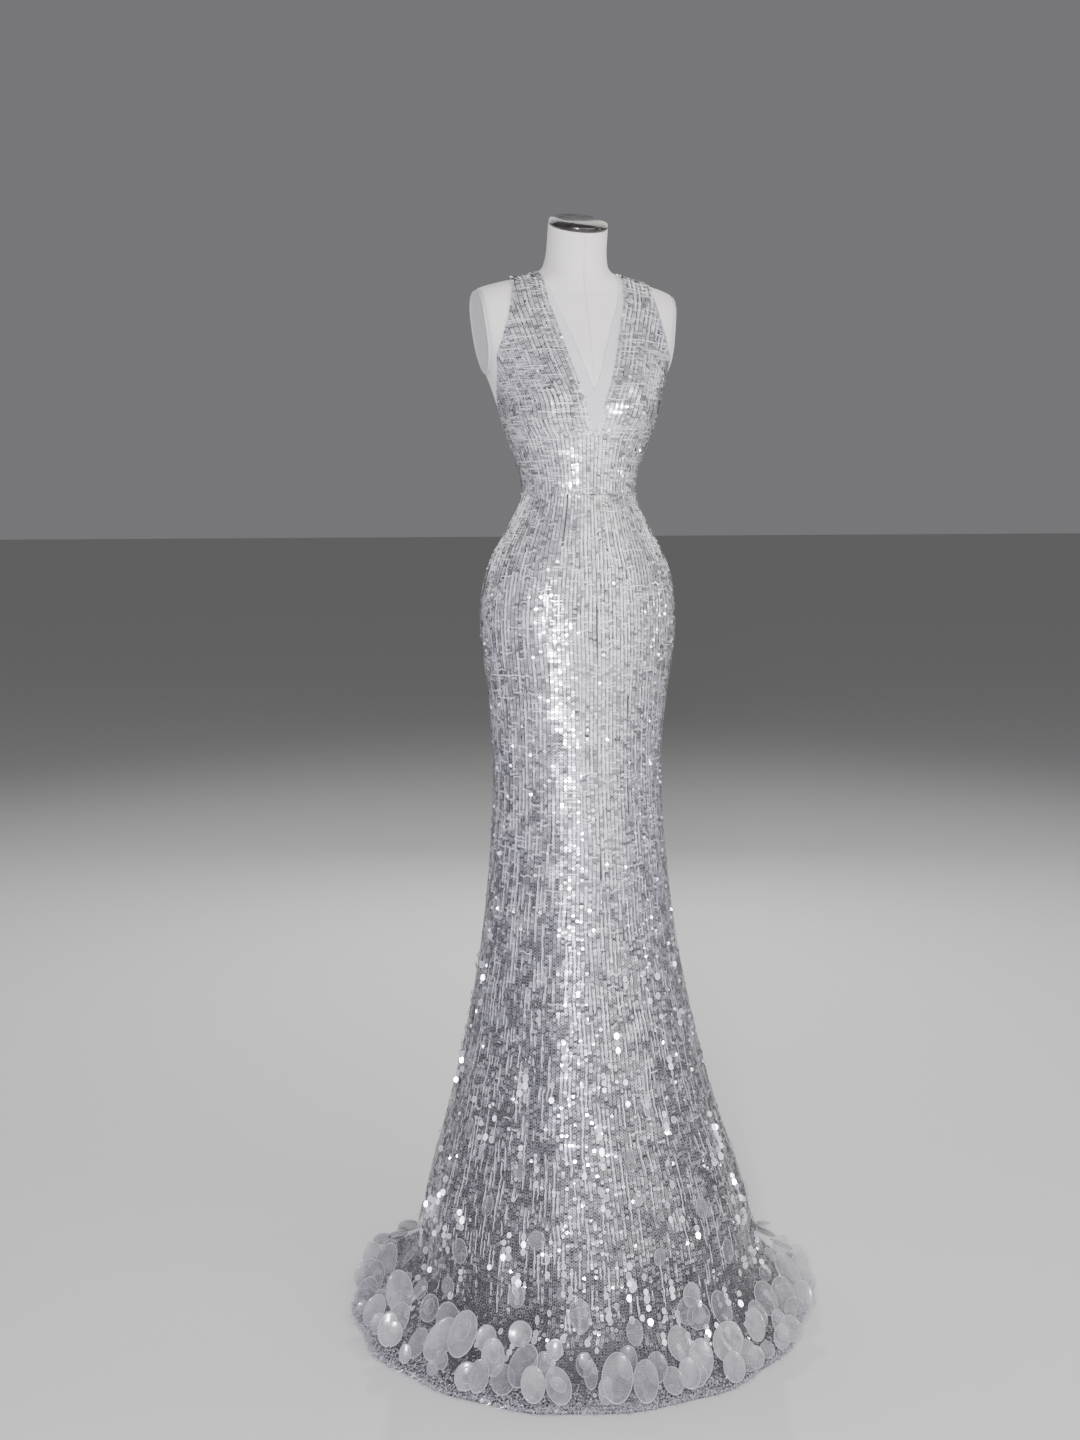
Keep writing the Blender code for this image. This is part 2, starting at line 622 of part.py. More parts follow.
def front_bodice_rows():
    """Inner and outer points of the wearer's left front, from the waist seam up to the shoulder seam."""
    heights = bands(BODICE_BANDS)
    heights[0] = WAIST + SEAM / 2
    share = np.linspace(0, 1, BODICE_COLUMNS + 1)
    inner_x = np.where(heights > V_BOTTOM, read(NECK_EDGE_X, heights), 0) + SEAM / 2
    first = angle_at(inner_x, heights)
    last = np.radians(read(ARM_EDGE_ANGLE, heights)) - (SEAM / 2) / column("half_width", heights)
    angles = first[:, None] * (1 - share) + last[:, None] * share
    rows = np.repeat(heights[:, None], len(share), axis=1)
    distances = (CLEARANCE, CLEARANCE + CLOTH)
    low = moved_out(figure, angles, rows, distances, level_rows=(0,))

    chest_x = figure(angles[-1], CHEST)[:, 0]
    share = (chest_x - chest_x[0]) / (chest_x[-1] - chest_x[0])
    arm_edge = [Edge(CHEST, chest_x[-1])] + ARM_EDGE_X
    fan = 1 - np.linspace(1, 0, FAN_ROWS + 1)[1:] ** CROWDING
    along = CHEST + (FAN_TOP - SEAM / 2 - CHEST) * fan
    start, end = read(NECK_EDGE_X, along) + SEAM / 2, read(arm_edge, along)
    x = start[:, None] * (1 - share) + end[:, None] * share
    rows = np.repeat(along[:, None], len(share), axis=1)
    high = moved_out(over_shoulder, x, rows, distances)
    return [np.concatenate(pair) for pair in zip(low, high)]


def build_front_bodice(made_of):
    inner, outer = front_bodice_rows()
    return [
        wall("bodice_front_left", inner, outer, made_of),
        wall("bodice_front_right", mirrored(inner), mirrored(outer), made_of),
    ]


def build_back_bodice(made_of):
    """A low band on each side of the centre back seam, and a strap from each shoulder down to it."""
    made = []
    edge = (SEAM / 2) / column("half_width", WAIST)
    angles = np.linspace(math.pi / 2 + edge, math.pi - edge, BACK_COLUMNS + 1)
    tops = read(BACK_TOP_HEIGHT, np.degrees(angles))
    share = np.linspace(0, 1, BACK_ROWS + 1)[:, None]
    heights = (WAIST + SEAM / 2) * (1 - share) + tops * share
    u = np.repeat(angles[None, :], BACK_ROWS + 1, axis=0)
    for side, mirror in (("left", False), ("right", True)):
        name = "bodice_back_" + side
        made.append(cloth_wall(name, figure, u, heights, made_of, level_rows=(0,), mirror=mirror))

    # A strap ends just above the band, so the last row of its points is fitted to the band's slanting top.
    share = np.linspace(0, 1, STRAP_COLUMNS + 1)
    end = FAN_END + STRAP_LENGTH
    foot_x = read(STRAP_INNER_X, end) * (1 - share) + read(STRAP_OUTER_X, end) * share
    foot_angle = angle_at(foot_x, STRAP_FOOT, back=True)
    foot = FAN_END + CHEST - (read(BACK_TOP_HEIGHT, np.degrees(foot_angle)) + 2 * SEAM)
    rise = np.linspace(0, 1, STRAP_ROWS + 1)[:, None] ** CROWDING
    along = (FAN_TOP + SEAM / 2) * (1 - rise) + foot[None, :] * rise
    x = read(STRAP_INNER_X, along) * (1 - share) + read(STRAP_OUTER_X, along) * share
    for side, mirror in (("left", False), ("right", True)):
        made.append(cloth_wall("strap_back_" + side, over_shoulder, x, along, made_of, mirror=mirror))
    return made


def build_sheer(made_of):
    """The bare net that edges the V and fills its foot, in one piece from shoulder to shoulder."""
    rise = 1 - np.linspace(1, 0, SHEER_ROWS + 1) ** CROWDING
    foot, top = V_BOTTOM + SHEER_FOOT, FAN_TOP - SEAM / 2
    outer_along = foot + (top - foot) * rise
    inner_along = SHEER_V_BOTTOM + (top - SHEER_V_BOTTOM) * rise
    share = np.linspace(0, 1, SHEER_COLUMNS + 1)
    outer_x = np.maximum(read(NECK_EDGE_X, outer_along) - SEAM, 0) * np.minimum(rise * SHEER_ROWS, 1)
    inner_x = read(SHEER_EDGE_X, inner_along)
    x = outer_x[:, None] * (1 - share) + inner_x[:, None] * share
    along = outer_along[:, None] * (1 - share) + inner_along[:, None] * share
    inner, outer = moved_out(over_shoulder, x, along, (CLEARANCE, CLEARANCE + NET))
    left = [grid[:, ::-1] for grid in (inner, outer)]
    right = [(grid[1:][::-1] * np.array([-1, 1, 1]))[:, ::-1] for grid in (inner, outer)]
    strips = [np.concatenate(pair) for pair in zip(right, left)]
    return wall("sheer_inset", strips[0], strips[1], made_of)


def build_paillettes(skirt, made_of):
    """Flat ovals that hang on the flare, each moved out until it just clears the cloth."""
    trees = []
    for panel in skirt:
        places = [v.co for v in panel.data.vertices]
        trees.append(BVHTree.FromPolygons(places, [p.vertices for p in panel.data.polygons]))
    cloth = np.array([v.co for panel in skirt for v in panel.data.vertices])
    number = 0
    for ring in PAILLETTE_RINGS:
        for k in range(ring.count):
            number += 1
            stray = (number * GOLDEN) % 1 - 0.5
            angle = 2 * math.pi * (k + ring.phase + STRAY_TURN * stray) / ring.count
            height = ring.height + STRAY_HEIGHT * ((number * GOLDEN * GOLDEN) % 1 - 0.5)
            size = 1 + STRAY_SIZE * ((number * GOLDEN * 3) % 1 - 0.5)
            oval = hanging_oval(angle, height, ring.width * size / 2, ring.length * size / 2)
            lift = rise_to_clear(oval, trees, cloth) + PAILLETTE_SEAT
            layers = [oval.rim() + oval.out * (lift + rise) for rise in (0, PAILLETTE)]
            stack(f"paillette_{number:02d}", layers, made_of)


class Oval:
    """A flat oval of PAILLETTE_SIDES straight edges, with a centre, two half axes and a facing."""

    def __init__(self, centre, across, along):
        self.centre, self.across, self.along = centre, across, along
        out = np.cross(across, along)
        self.out = out / np.linalg.norm(out)

    def rim(self):
        """The corners of the oval."""
        turn = np.arange(PAILLETTE_SIDES)[:, None] * 2 * math.pi / PAILLETTE_SIDES
        return self.centre + self.across * np.cos(turn) + self.along * np.sin(turn)

    def covers(self, points):
        """Which of the points lie over or under the oval."""
        apart = points - self.centre
        u, v = (apart @ axis / (axis @ axis) for axis in (self.across, self.along))
        half_step = math.pi / PAILLETTE_SIDES
        edge_turn = (2 * np.arange(PAILLETTE_SIDES) + 1) * half_step
        reach = u[:, None] * np.cos(edge_turn) + v[:, None] * np.sin(edge_turn)
        return np.all(reach < math.cos(half_step), axis=1)


def hanging_oval(angle, height, half_width, half_length):
    """An oval on the figure, hung by its upper end, with its lower end tilted away from the cloth."""
    centre, out = figure(angle, height), outward(figure, np.array(angle), np.array(height))
    across = np.array([math.cos(angle), math.sin(angle), 0])
    across = across - out * (across @ out)
    across = across / np.linalg.norm(across)
    tilt = math.radians(PAILLETTE_TILT)
    up = np.cross(out, across) * math.cos(tilt) - out * math.sin(tilt)
    return Oval(centre, across * half_width, up * half_length)


def rise_to_clear(oval, trees, cloth):
    """How far an oval has to move out along its own normal to touch the cloth from outside."""
    covered = cloth[oval.covers(cloth)]
    lift = np.max((covered - oval.centre) @ oval.out, initial=0.0)
    for point in evenly(oval.rim(), 6 * PAILLETTE_SIDES):
        start = Vector(point + oval.out * PAILLETTE_REACH)
        for tree in trees:
            distance = tree.ray_cast(start, Vector(-oval.out), 2 * PAILLETTE_REACH)[3]
            if distance is not None:
                lift = max(lift, PAILLETTE_REACH - distance)
    return lift


def main():
    clear_scene()
    sequins = material("sequins", SEQUINS)
    net = material("net", NET_WHITE)
    linen = material("linen", LINEN)
    wood = material("dark_wood", DARK_WOOD)
    steel = material("black_steel", BLACK_STEEL)
    pearl = material("pearl", PEARL)
    build_form(linen, wood)
    build_stand(steel)
    skirt = build_skirt(sequins)
    build_front_bodice(sequins)
    build_back_bodice(sequins)
    build_sheer(net)
    build_paillettes(skirt, pearl)


main()
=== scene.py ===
"""Evening gown of sequinned net on a limbless dress form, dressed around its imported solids.

The origin is the centre of the stand's underside, on the floor. +Z is up, the gown faces -Y and +X is the
wearer's left. All sizes are in metres.
"""

import logging
import math
from collections.abc import Callable, Sequence
from dataclasses import dataclass, field
from enum import Enum

import bpy
import numpy as np
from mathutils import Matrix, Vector


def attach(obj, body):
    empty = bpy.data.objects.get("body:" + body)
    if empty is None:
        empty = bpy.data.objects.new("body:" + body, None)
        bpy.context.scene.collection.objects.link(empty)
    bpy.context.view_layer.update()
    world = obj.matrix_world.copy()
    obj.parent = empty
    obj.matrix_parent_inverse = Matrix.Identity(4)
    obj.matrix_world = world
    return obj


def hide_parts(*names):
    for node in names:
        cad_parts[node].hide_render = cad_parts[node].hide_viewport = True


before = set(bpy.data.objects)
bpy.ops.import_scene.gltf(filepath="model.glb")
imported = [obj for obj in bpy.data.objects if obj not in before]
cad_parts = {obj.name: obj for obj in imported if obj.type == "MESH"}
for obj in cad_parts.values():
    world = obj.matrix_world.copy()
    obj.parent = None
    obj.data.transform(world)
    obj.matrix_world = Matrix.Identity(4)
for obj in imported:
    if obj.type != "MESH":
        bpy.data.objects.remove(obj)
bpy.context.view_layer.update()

Array = np.ndarray
Chart = Callable[[Array, Array], Array]
Socket = bpy.types.NodeSocket
Node = bpy.types.Node
Tree = bpy.types.NodeTree
Piece = bpy.types.Object
Material = bpy.types.Material
Colour = tuple[float, float, float]
Finishes = dict[str, Material]

LOG = logging.getLogger("gown")
BODY = "root"
TURN = 2 * math.pi
GOLDEN_ANGLE = math.pi * (3 - math.sqrt(5))
MIRROR = np.array([-1, 1, 1])  # takes the wearer's left to the right
STEP = 1e-4  # how far apart two readings of a surface lie when its slope is taken
LONGEST_STITCH = 0.012  # no thread shows between two sequins farther apart than this
FREE_FACE = np.array([-0.266, -0.927, 0.264])  # the way that sequins hung by one edge come to face
FREE_SHARE = 0.97  # how far they turn that way
FREE_STRAY = 0.10  # how far they lean and sway from it


class Side(Enum):
    """The wearer's side, with the sign of its X."""

    LEFT = 1
    RIGHT = -1

    @property
    def word(self) -> str:
        """The side's name in a piece's name."""
        return self.name.lower()

    @property
    def number(self) -> int:
        """0 for the left and 1 for the right, which sets their sequins' seeds apart."""
        return (1 - self.value) // 2


class Shading(Enum):
    """How a mesh's faces are shaded."""

    SMOOTH = True
    FACETED = False


# ---------------------------------------------------------------- tables


def table(*rows: Sequence[float]) -> Array:
    """A dataclass field that holds a table, row by row."""
    return field(default_factory=lambda: np.array(rows, float))


def read_monotone(known: Array, place: Array) -> Array:
    """Reads a two-column table by a cubic curve that never swings past its rows.

    Each row's slope is the weighted harmonic mean of the rises on its two sides, or zero where they disagree.

    Args:
        known: rows of (place, value), the places rising.
        place: where to read it. Places beyond the ends give the end values.

    Returns:
        The values, in the shape of place.
    """
    xs, ys = known[:, 0], known[:, 1]
    steps = np.diff(xs)
    rises = np.diff(ys) / steps
    before, after = rises[:-1], rises[1:]
    agree = before * after > 0
    heavy, light = 2 * steps[1:] + steps[:-1], steps[1:] + 2 * steps[:-1]
    shares = heavy / np.where(agree, before, 1) + light / np.where(agree, after, 1)
    slopes = np.concatenate([rises[:1], np.where(agree, (heavy + light) / shares, 0.0), rises[-1:]])
    place = np.clip(np.asarray(place, float), xs[0], xs[-1])
    i = np.clip(np.searchsorted(xs, place, side="right") - 1, 0, len(steps) - 1)
    t = (place - xs[i]) / steps[i]
    start = (1 + 2 * t) * (1 - t) ** 2 * ys[i] + t * (1 - t) ** 2 * steps[i] * slopes[i]
    end = t**2 * (3 - 2 * t) * ys[i + 1] + t**2 * (t - 1) * steps[i] * slopes[i + 1]
    return start + end


def read_rows(known: Array, values: Array, wanted: Array) -> Array:
    """Reads one table a row, all rows at once, by shifting each row past the one before it.

    Args:
        known: rising places, one row for each table.
        values: the value at each known place.
        wanted: the places to read, with a row for each table.

    Returns:
        The values, in the shape of wanted.
    """
    span = max(known.max(), wanted.max()) + 1.0
    shift = np.arange(len(known))[:, None] * span
    wanted = np.clip(wanted, known[:, :1], known[:, -1:])
    return np.interp((wanted + shift).ravel(), (known + shift).ravel(), values.ravel()).reshape(wanted.shape)


def unit(vectors: Array) -> Array:
    """The vectors, each made one long."""
    return vectors / np.linalg.norm(vectors, axis=-1, keepdims=True)


def dot(a: Array, b: Array) -> Array:
    """The dot products of two arrays of vectors, kept as a last axis of one."""
    return np.sum(a * b, axis=-1, keepdims=True)


def lengths_along(points: Array) -> Array:
    """The running length along each row of a grid of points, from zero."""
    pieces = np.linalg.norm(np.diff(points, axis=1), axis=-1)
    return np.concatenate([np.zeros((len(points), 1)), np.cumsum(pieces, axis=1)], axis=1)


def cloth_map(points: Array) -> Array:
    """The lengths across and down a grid of points, as a UV map in metres."""
    return np.stack([lengths_along(points), lengths_along(points.transpose(1, 0, 2)).T], axis=-1)


def surface_area(points: Array) -> float:
    """The area of a grid of points, as the sum of its triangles."""
    a, b, c, d = points[:-1, :-1], points[:-1, 1:], points[1:, 1:], points[1:, :-1]
    halves = np.linalg.norm(np.cross(b - a, c - a), axis=-1) + np.linalg.norm(np.cross(c - a, d - a), axis=-1)
    return float(halves.sum() / 2)


def streaks(random: np.random.Generator, rows: int, columns: int, reach: int) -> Array:
    """Noise with a spread of 1 that runs down columns: a moving average of seeded noise over reach rows."""
    run = np.cumsum(random.standard_normal((rows + reach, columns)), axis=0)
    return (run[reach:] - run[:-reach]) / math.sqrt(reach)


# ---------------------------------------------------------------- the figure


@dataclass
class Figure:
    """The body of the form and the hang of the skirt as one smooth surface, from the hem to the neck.

    Each level is a closed curve with its height, a half width, a lean along X, a middle along Y, a depth in
    front of and behind the middle, and a corner power that is 2 for an ellipse and more for a squarer outline.
    The figure is read between the levels by a natural cubic spline.
    """

    waist: float = 1.371
    chest: float = 1.600
    v_bottom: float = 1.465
    side_top: float = 1.511
    bust_height: float = 1.518
    bust_apex: float = 0.078
    bust_proud: float = 0.030
    bust_wide: float = 0.048
    bust_up: float = 0.060
    bust_down: float = 0.042
    bust_side: float = 3.0  # how quickly the bust rises from the side line
    fan_y: float = 0.036  # the line inside the shoulders about which the fan over them turns
    fan_reach: float = 0.120  # the length on the cloth for each radian of the fan
    fan_limit: float = 0.22
    halvings: int = 40
    fold_fade: float = 1.4
    levels: Array = table(
        (0, 0.37, 0.013, 0.047, 0.379, 0.381, 2), (0.02, 0.354, 0.018, 0.045, 0.364, 0.368, 2),
        (0.05, 0.314, 0.024, 0.039, 0.327, 0.333, 2), (0.085, 0.281, 0.025, 0.033, 0.298, 0.308, 2),
        (0.12, 0.27, 0.022, 0.028, 0.286, 0.298, 2), (0.16, 0.265, 0.018, 0.022, 0.276, 0.288, 2),
        (0.22, 0.254, 0.014, 0.016, 0.258, 0.268, 2), (0.3, 0.231, 0.009, 0.01, 0.232, 0.241, 2),
        (0.4, 0.204, 0.005, 0.006, 0.203, 0.21, 2), (0.52, 0.178, 0.002, 0.003, 0.174, 0.18, 2),
        (0.65, 0.157, 0, 0.003, 0.148, 0.154, 2), (0.78, 0.1445, -0.001, 0.003, 0.131, 0.138, 2),
        (0.89, 0.1395, -0.002, 0.004, 0.121, 0.129, 2), (0.97, 0.1415, -0.002, 0.005, 0.116, 0.124, 2.05),
        (1.06, 0.1515, 0, 0.005, 0.112, 0.12, 2.1), (1.16, 0.163, 0, 0.005, 0.11, 0.12, 2.15),
        (1.22, 0.158, 0, 0.004, 0.105, 0.112, 2.15), (1.26, 0.1465, 0, 0.003, 0.099, 0.103, 2.15),
        (1.3, 0.126, 0, 0.002, 0.092, 0.093, 2.1), (1.335, 0.1065, 0, 0.002, 0.087, 0.086, 2.1),
        (1.371, 0.0925, 0, 0.003, 0.084, 0.083, 2.1), (1.4, 0.095, 0, 0.005, 0.088, 0.084, 2.1),
        (1.44, 0.1075, 0, 0.008, 0.095, 0.087, 2.15), (1.48, 0.123, 0, 0.012, 0.101, 0.09, 2.2),
        (1.53, 0.138, 0, 0.018, 0.106, 0.094, 2.25), (1.57, 0.152, 0, 0.023, 0.107, 0.097, 2.3),
        (1.61, 0.17, 0, 0.029, 0.103, 0.096, 2.4), (1.66, 0.186, 0, 0.036, 0.092, 0.089, 2.4),
        (1.698, 0.186, 0, 0.038, 0.078, 0.077, 2.4), (1.709, 0.177, 0, 0.038, 0.073, 0.071, 2.3),
        (1.719, 0.156, 0, 0.036, 0.068, 0.065, 2.2), (1.727, 0.127, 0, 0.034, 0.064, 0.061, 2.1),
        (1.735, 0.095, 0, 0.032, 0.061, 0.058, 2), (1.742, 0.072, 0, 0.03, 0.059, 0.056, 2),
        (1.749, 0.06, 0, 0.027, 0.057, 0.054, 2), (1.76, 0.054, 0, 0.023, 0.054, 0.052, 2),
        (1.8, 0.0505, 0, 0.012, 0.051, 0.051, 2), (1.87, 0.05, 0, -0.004, 0.051, 0.051, 2),
    )
    # Soft flutes of the flare: angle, half width of the ridge, how proud it is at the hem, where it dies out.
    folds: Array = table(
        (-4, 9, 0.006, 0.62), (21, 8, 0.01, 0.8), (46, 9, 0.008, 0.66), (71, 8, 0.012, 0.84), (97, 10, 0.009, 0.7),
        (126, 9, 0.011, 0.78), (151, 8, 0.008, 0.64), (178, 10, 0.012, 0.86), (207, 8, 0.009, 0.68),
        (233, 9, 0.011, 0.8), (261, 9, 0.0085, 0.66), (287, 8, 0.0115, 0.82), (311, 9, 0.0075, 0.6),
        (333, 8, 0.0095, 0.74),
    )

    def __post_init__(self) -> None:
        """Solves once for the bend of the spline at each level, for all the columns together."""
        steps = np.diff(self.levels[:, 0])
        rises = np.diff(self.levels[:, 1:], axis=0) / steps[:, None]
        system = np.eye(len(self.levels))
        inner = np.arange(1, len(self.levels) - 1)
        system[inner, inner - 1] = steps[:-1]
        system[inner, inner] = 2 * (steps[:-1] + steps[1:])
        system[inner, inner + 1] = steps[1:]
        change = np.zeros_like(self.levels[:, 1:])
        change[1:-1] = 6 * np.diff(rises, axis=0)
        self.bend = np.linalg.solve(system, change)
        self.fan_top = self.chest + self.fan_reach * math.pi / 2  # the shoulder seam, as a length along the cloth
        self.fan_end = self.chest + self.fan_reach * math.pi  # where the fan is level again, at the back

    def level(self, height: Array) -> Array:
        """Half width, lean, middle, front, back and corner power at heights, as the first axis."""
        xs, ys = self.levels[:, 0], self.levels[:, 1:]
        height = np.clip(height, xs[0], xs[-1])
        i = np.clip(np.searchsorted(xs, height, side="right") - 1, 0, len(xs) - 2)
        past, left, step = (part[..., None] for part in (height - xs[i], xs[i + 1] - height, xs[i + 1] - xs[i]))
        line = (ys[i] * left + ys[i + 1] * past) / step
        curl = self.bend[i] * (left**3 / step - step * left) + self.bend[i + 1] * (past**3 / step - step * past)
        return np.moveaxis(line + curl / 6, -1, 0)

    def bust(self, x: Array, height: Array, half: Array, corner: Array) -> Array:
        """How far the bust pushes the front out: two bell curves that die out at the side line."""
        above = np.where(height > self.bust_height, self.bust_up, self.bust_down)
        across = (np.abs(x) - self.bust_apex) / self.bust_wide
        ahead = (1 - np.clip(np.abs(x) / half, 0, 1) ** corner) ** (1 / corner)
        swell = self.bust_proud * np.exp(-(across**2) - ((height - self.bust_height) / above) ** 2)
        return swell * np.clip(ahead * self.bust_side, 0, 1)

    def flutes(self, angle: Array, height: Array) -> Array:
        """How far the folds stand out: a bell curve round each fold's angle, fading from the hem to its top."""
        out = np.zeros(angle.shape)
        for middle, wide, depth, top in self.folds:
            away = (np.degrees(angle) - middle + 180) % 360 - 180
            out += depth * np.clip(1 - height / top, 0, 1) ** self.fold_fade * np.exp(-((away / wide) ** 2))
        return out

    def surface(self, angle: Array, height: Array) -> Array:
        """Points of the figure by the angle round it, from 0 at the front centre to the wearer's left.

        x is the half width times sine, and y the depth times cosine, both swollen so that the outline is a
        superellipse of the level's corner power. Folds add to both and the bust to the front.

        Args:
            angle: angles in radians.
            height: heights above the floor.

        Returns:
            The points, with X, Y and Z as the last axis.
        """
        angle, height = np.broadcast_arrays(np.asarray(angle, float), np.asarray(height, float))
        half, lean, middle, front, back, corner = self.level(height)
        across, ahead = np.sin(angle), np.cos(angle)
        swell = (np.abs(across) ** corner + np.abs(ahead) ** corner) ** (-1 / corner)
        folds = self.flutes(angle, height)
        x = (half + folds) * across * swell
        y = middle - (np.where(ahead > 0, front, back) + folds) * ahead * swell
        y = y - np.where(ahead > 0, self.bust(x, height, half, corner), 0.0)
        return np.stack([x + lean, y, height], axis=-1)

    def angle_at(self, x: Array, height: Array, back: bool = False) -> Array:
        """The angle at which the figure is x wide at a height, at the front or at the back."""
        half, _, _, _, _, corner = self.level(height)
        ahead = (1 - np.clip(np.abs(x) / half, 0, 1) ** corner) ** (1 / corner)
        angle = np.arctan2(x / half, ahead)
        return np.pi - angle if back else angle

    def inside(self, x: Array, y: Array, height: Array) -> Array:
        """Below 1 inside the body and above 1 outside it: the sum of the two shares to the corner power."""
        half, _, middle, front, back, corner = self.level(height)
        forward = y < middle
        ahead = np.where(forward, -1, 1) * (y - middle)
        ahead = ahead - np.where(forward, self.bust(x, height, half, corner), 0)
        depth = np.where(forward, front, back)
        return (np.abs(x) / half) ** corner + (np.maximum(ahead, 0) / depth) ** corner

    def over_shoulder(self, x: Array, along: Array) -> Array:
        """Points of the body by x and the length along the cloth, up the front, over and down the back.

        The length turns a ray about a line along X inside the shoulders, from level front to level back. The
        body's surface on the ray is found by halving.

        Args:
            x: distance from the centre line.
            along: the height below the chest, and from there the length over the shoulder.

        Returns:
            The points, with X, Y and Z as the last axis.
        """
        x, along = np.broadcast_arrays(np.asarray(x, float), np.asarray(along, float))
        turn = np.clip((along - self.chest) / self.fan_reach, 0, np.pi)
        drop = np.minimum(along - self.chest, 0) - np.maximum(along - self.fan_end, 0)
        near, far = np.zeros(x.shape), np.full(x.shape, self.fan_limit)
        for _ in range(self.halvings):
            middle = (near + far) / 2
            height = self.chest + drop + middle * np.sin(turn)
            outside = self.inside(x, self.fan_y - middle * np.cos(turn), height) > 1
            near, far = np.where(outside, near, middle), np.where(outside, middle, far)
        return np.stack([x, self.fan_y - near * np.cos(turn), self.chest + drop + near * np.sin(turn)], axis=-1)


def outward(chart: Chart, u: Array, v: Array) -> Array:
    """Unit normals of a chart, as the cross product of its two slopes."""
    return unit(np.cross(chart(u + STEP, v) - chart(u - STEP, v), chart(u, v + STEP) - chart(u, v - STEP)))


def offset(chart: Chart, u: Array, v: Array, distance: float | Array) -> Array:
    """Points at a distance outside a chart."""
    return chart(u, v) + outward(chart, u, v) * np.asarray(distance)[..., None]


# ---------------------------------------------------------------- meshes


@dataclass
class Shape:
    """Points and faces that become a mesh. Each array of faces has a row of corner numbers for each face.

    uv has a pair and rim a number for each point, and glint has a number for each face.
    """

    points: Array
    faces: list[Array]
    uv: Array | None = None
    glint: Array | None = None
    rim: Array | None = None

    def joined(self, other: "Shape") -> "Shape":
        """This shape and another as one, with what both of them carry."""
        faces = self.faces + [f + len(self.points) for f in other.faces]
        pairs = ((self.uv, other.uv), (self.glint, other.glint), (self.rim, other.rim))
        carried = (None if a is None or b is None else np.concatenate([a, b]) for a, b in pairs)
        return Shape(np.concatenate([self.points, other.points]), faces, *carried)

    def on(self, side: Side) -> "Shape":
        """A shape of the wearer's left, or for the right its mirror image, whose faces still point out."""
        if side is Side.LEFT:
            return self
        return Shape(self.points * MIRROR, [f[:, ::-1] for f in self.faces], self.uv, self.glint, self.rim)


def band_faces(low: Array, high: Array) -> Array:
    """Four-cornered faces between two rings of point numbers."""
    return np.stack([low, np.roll(low, -1), np.roll(high, -1), high], axis=-1)


def fan_faces(ring: Array, tip: int) -> Array:
    """Three-cornered faces from each edge of a ring of point numbers to a tip."""
    return np.stack([ring, np.roll(ring, -1), np.full(len(ring), tip)], axis=-1)


def closed_wall(inner: Array, outer: Array, uv: Array) -> Shape:
    """A closed wall between two grids of points, the outer one facing out, with a rim all round."""
    rows, columns = inner.shape[:2]
    numbers = np.arange(rows * columns).reshape(rows, columns)
    corners = (numbers[:-1, :-1], numbers[:-1, 1:], numbers[1:, 1:], numbers[1:, :-1])
    faces = np.stack([c.ravel() for c in corners], axis=-1)
    around = np.concatenate([numbers[0, :-1], numbers[:-1, -1], numbers[-1, :0:-1], numbers[:0:-1, 0]])
    points = np.concatenate([inner.reshape(-1, 3), outer.reshape(-1, 3)])
    sides = [faces[:, ::-1], faces + numbers.size, band_faces(around, around + numbers.size)]
    return Shape(points, sides, np.tile(uv.reshape(-1, 2), (2, 1)))


def lofted(rings: Sequence[Array]) -> Shape:
    """A body through closed rings of points, lowest first, with a fan over each end."""
    points = np.concatenate(list(rings) + [rings[0].mean(axis=0)[None], rings[-1].mean(axis=0)[None]])
    numbers = np.arange(len(points) - 2).reshape(len(rings), -1)
    bands = np.concatenate([band_faces(low, high) for low, high in zip(numbers, numbers[1:])])
    fans = [fan_faces(numbers[0][::-1], len(points) - 2), fan_faces(numbers[-1], len(points) - 1)]
    return Shape(points, [bands, *fans])


def make_piece(
    name: str,
    shape: Shape,
    finish: Material,
    stands_for: Sequence[str] = (),
    shading: Shading = Shading.SMOOTH,
) -> Piece:
    """Puts a shape into a mesh and an object at the origin, riding on the one body.

    Args:
        name: the piece's name.
        shape: its points, faces, UVs, glints and rim.
        finish: its material.
        stands_for: the solids that it replaces.
        shading: smooth or faceted.

    Returns:
        The new object.
    """
    mesh = bpy.data.meshes.new(name)
    sizes = np.concatenate([np.full(len(f), f.shape[1]) for f in shape.faces])
    corners = np.concatenate([f.ravel() for f in shape.faces]).astype(np.int32)
    mesh.vertices.add(len(shape.points))
    mesh.vertices.foreach_set("co", shape.points.astype(np.float32).ravel())
    mesh.loops.add(len(corners))
    mesh.loops.foreach_set("vertex_index", corners)
    mesh.polygons.add(len(sizes))
    mesh.polygons.foreach_set("loop_start", np.concatenate([[0], np.cumsum(sizes)[:-1]]).astype(np.int32))
    mesh.polygons.foreach_set("use_smooth", np.full(len(sizes), shading.value))
    mesh.update(calc_edges=True)
    if shape.uv is not None:
        layer = mesh.uv_layers.new(name="cloth")
        layer.data.foreach_set("uv", shape.uv[corners].astype(np.float32).ravel())
    for label, domain, values in (("glint", "FACE", shape.glint), ("rim", "POINT", shape.rim)):
        if values is not None:
            mesh.attributes.new(label, "FLOAT", domain).data.foreach_set("value", values.astype(np.float32))
    mesh.materials.append(finish)
    made = bpy.data.objects.new(name, mesh)
    bpy.context.scene.collection.objects.link(made)
    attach(made, BODY)
    if stands_for:
        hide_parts(*stands_for)
    LOG.info("made %s: %d triangles", name, int(np.sum(sizes - 2)))
    return made


# ---------------------------------------------------------------- small trim, spread in thousands


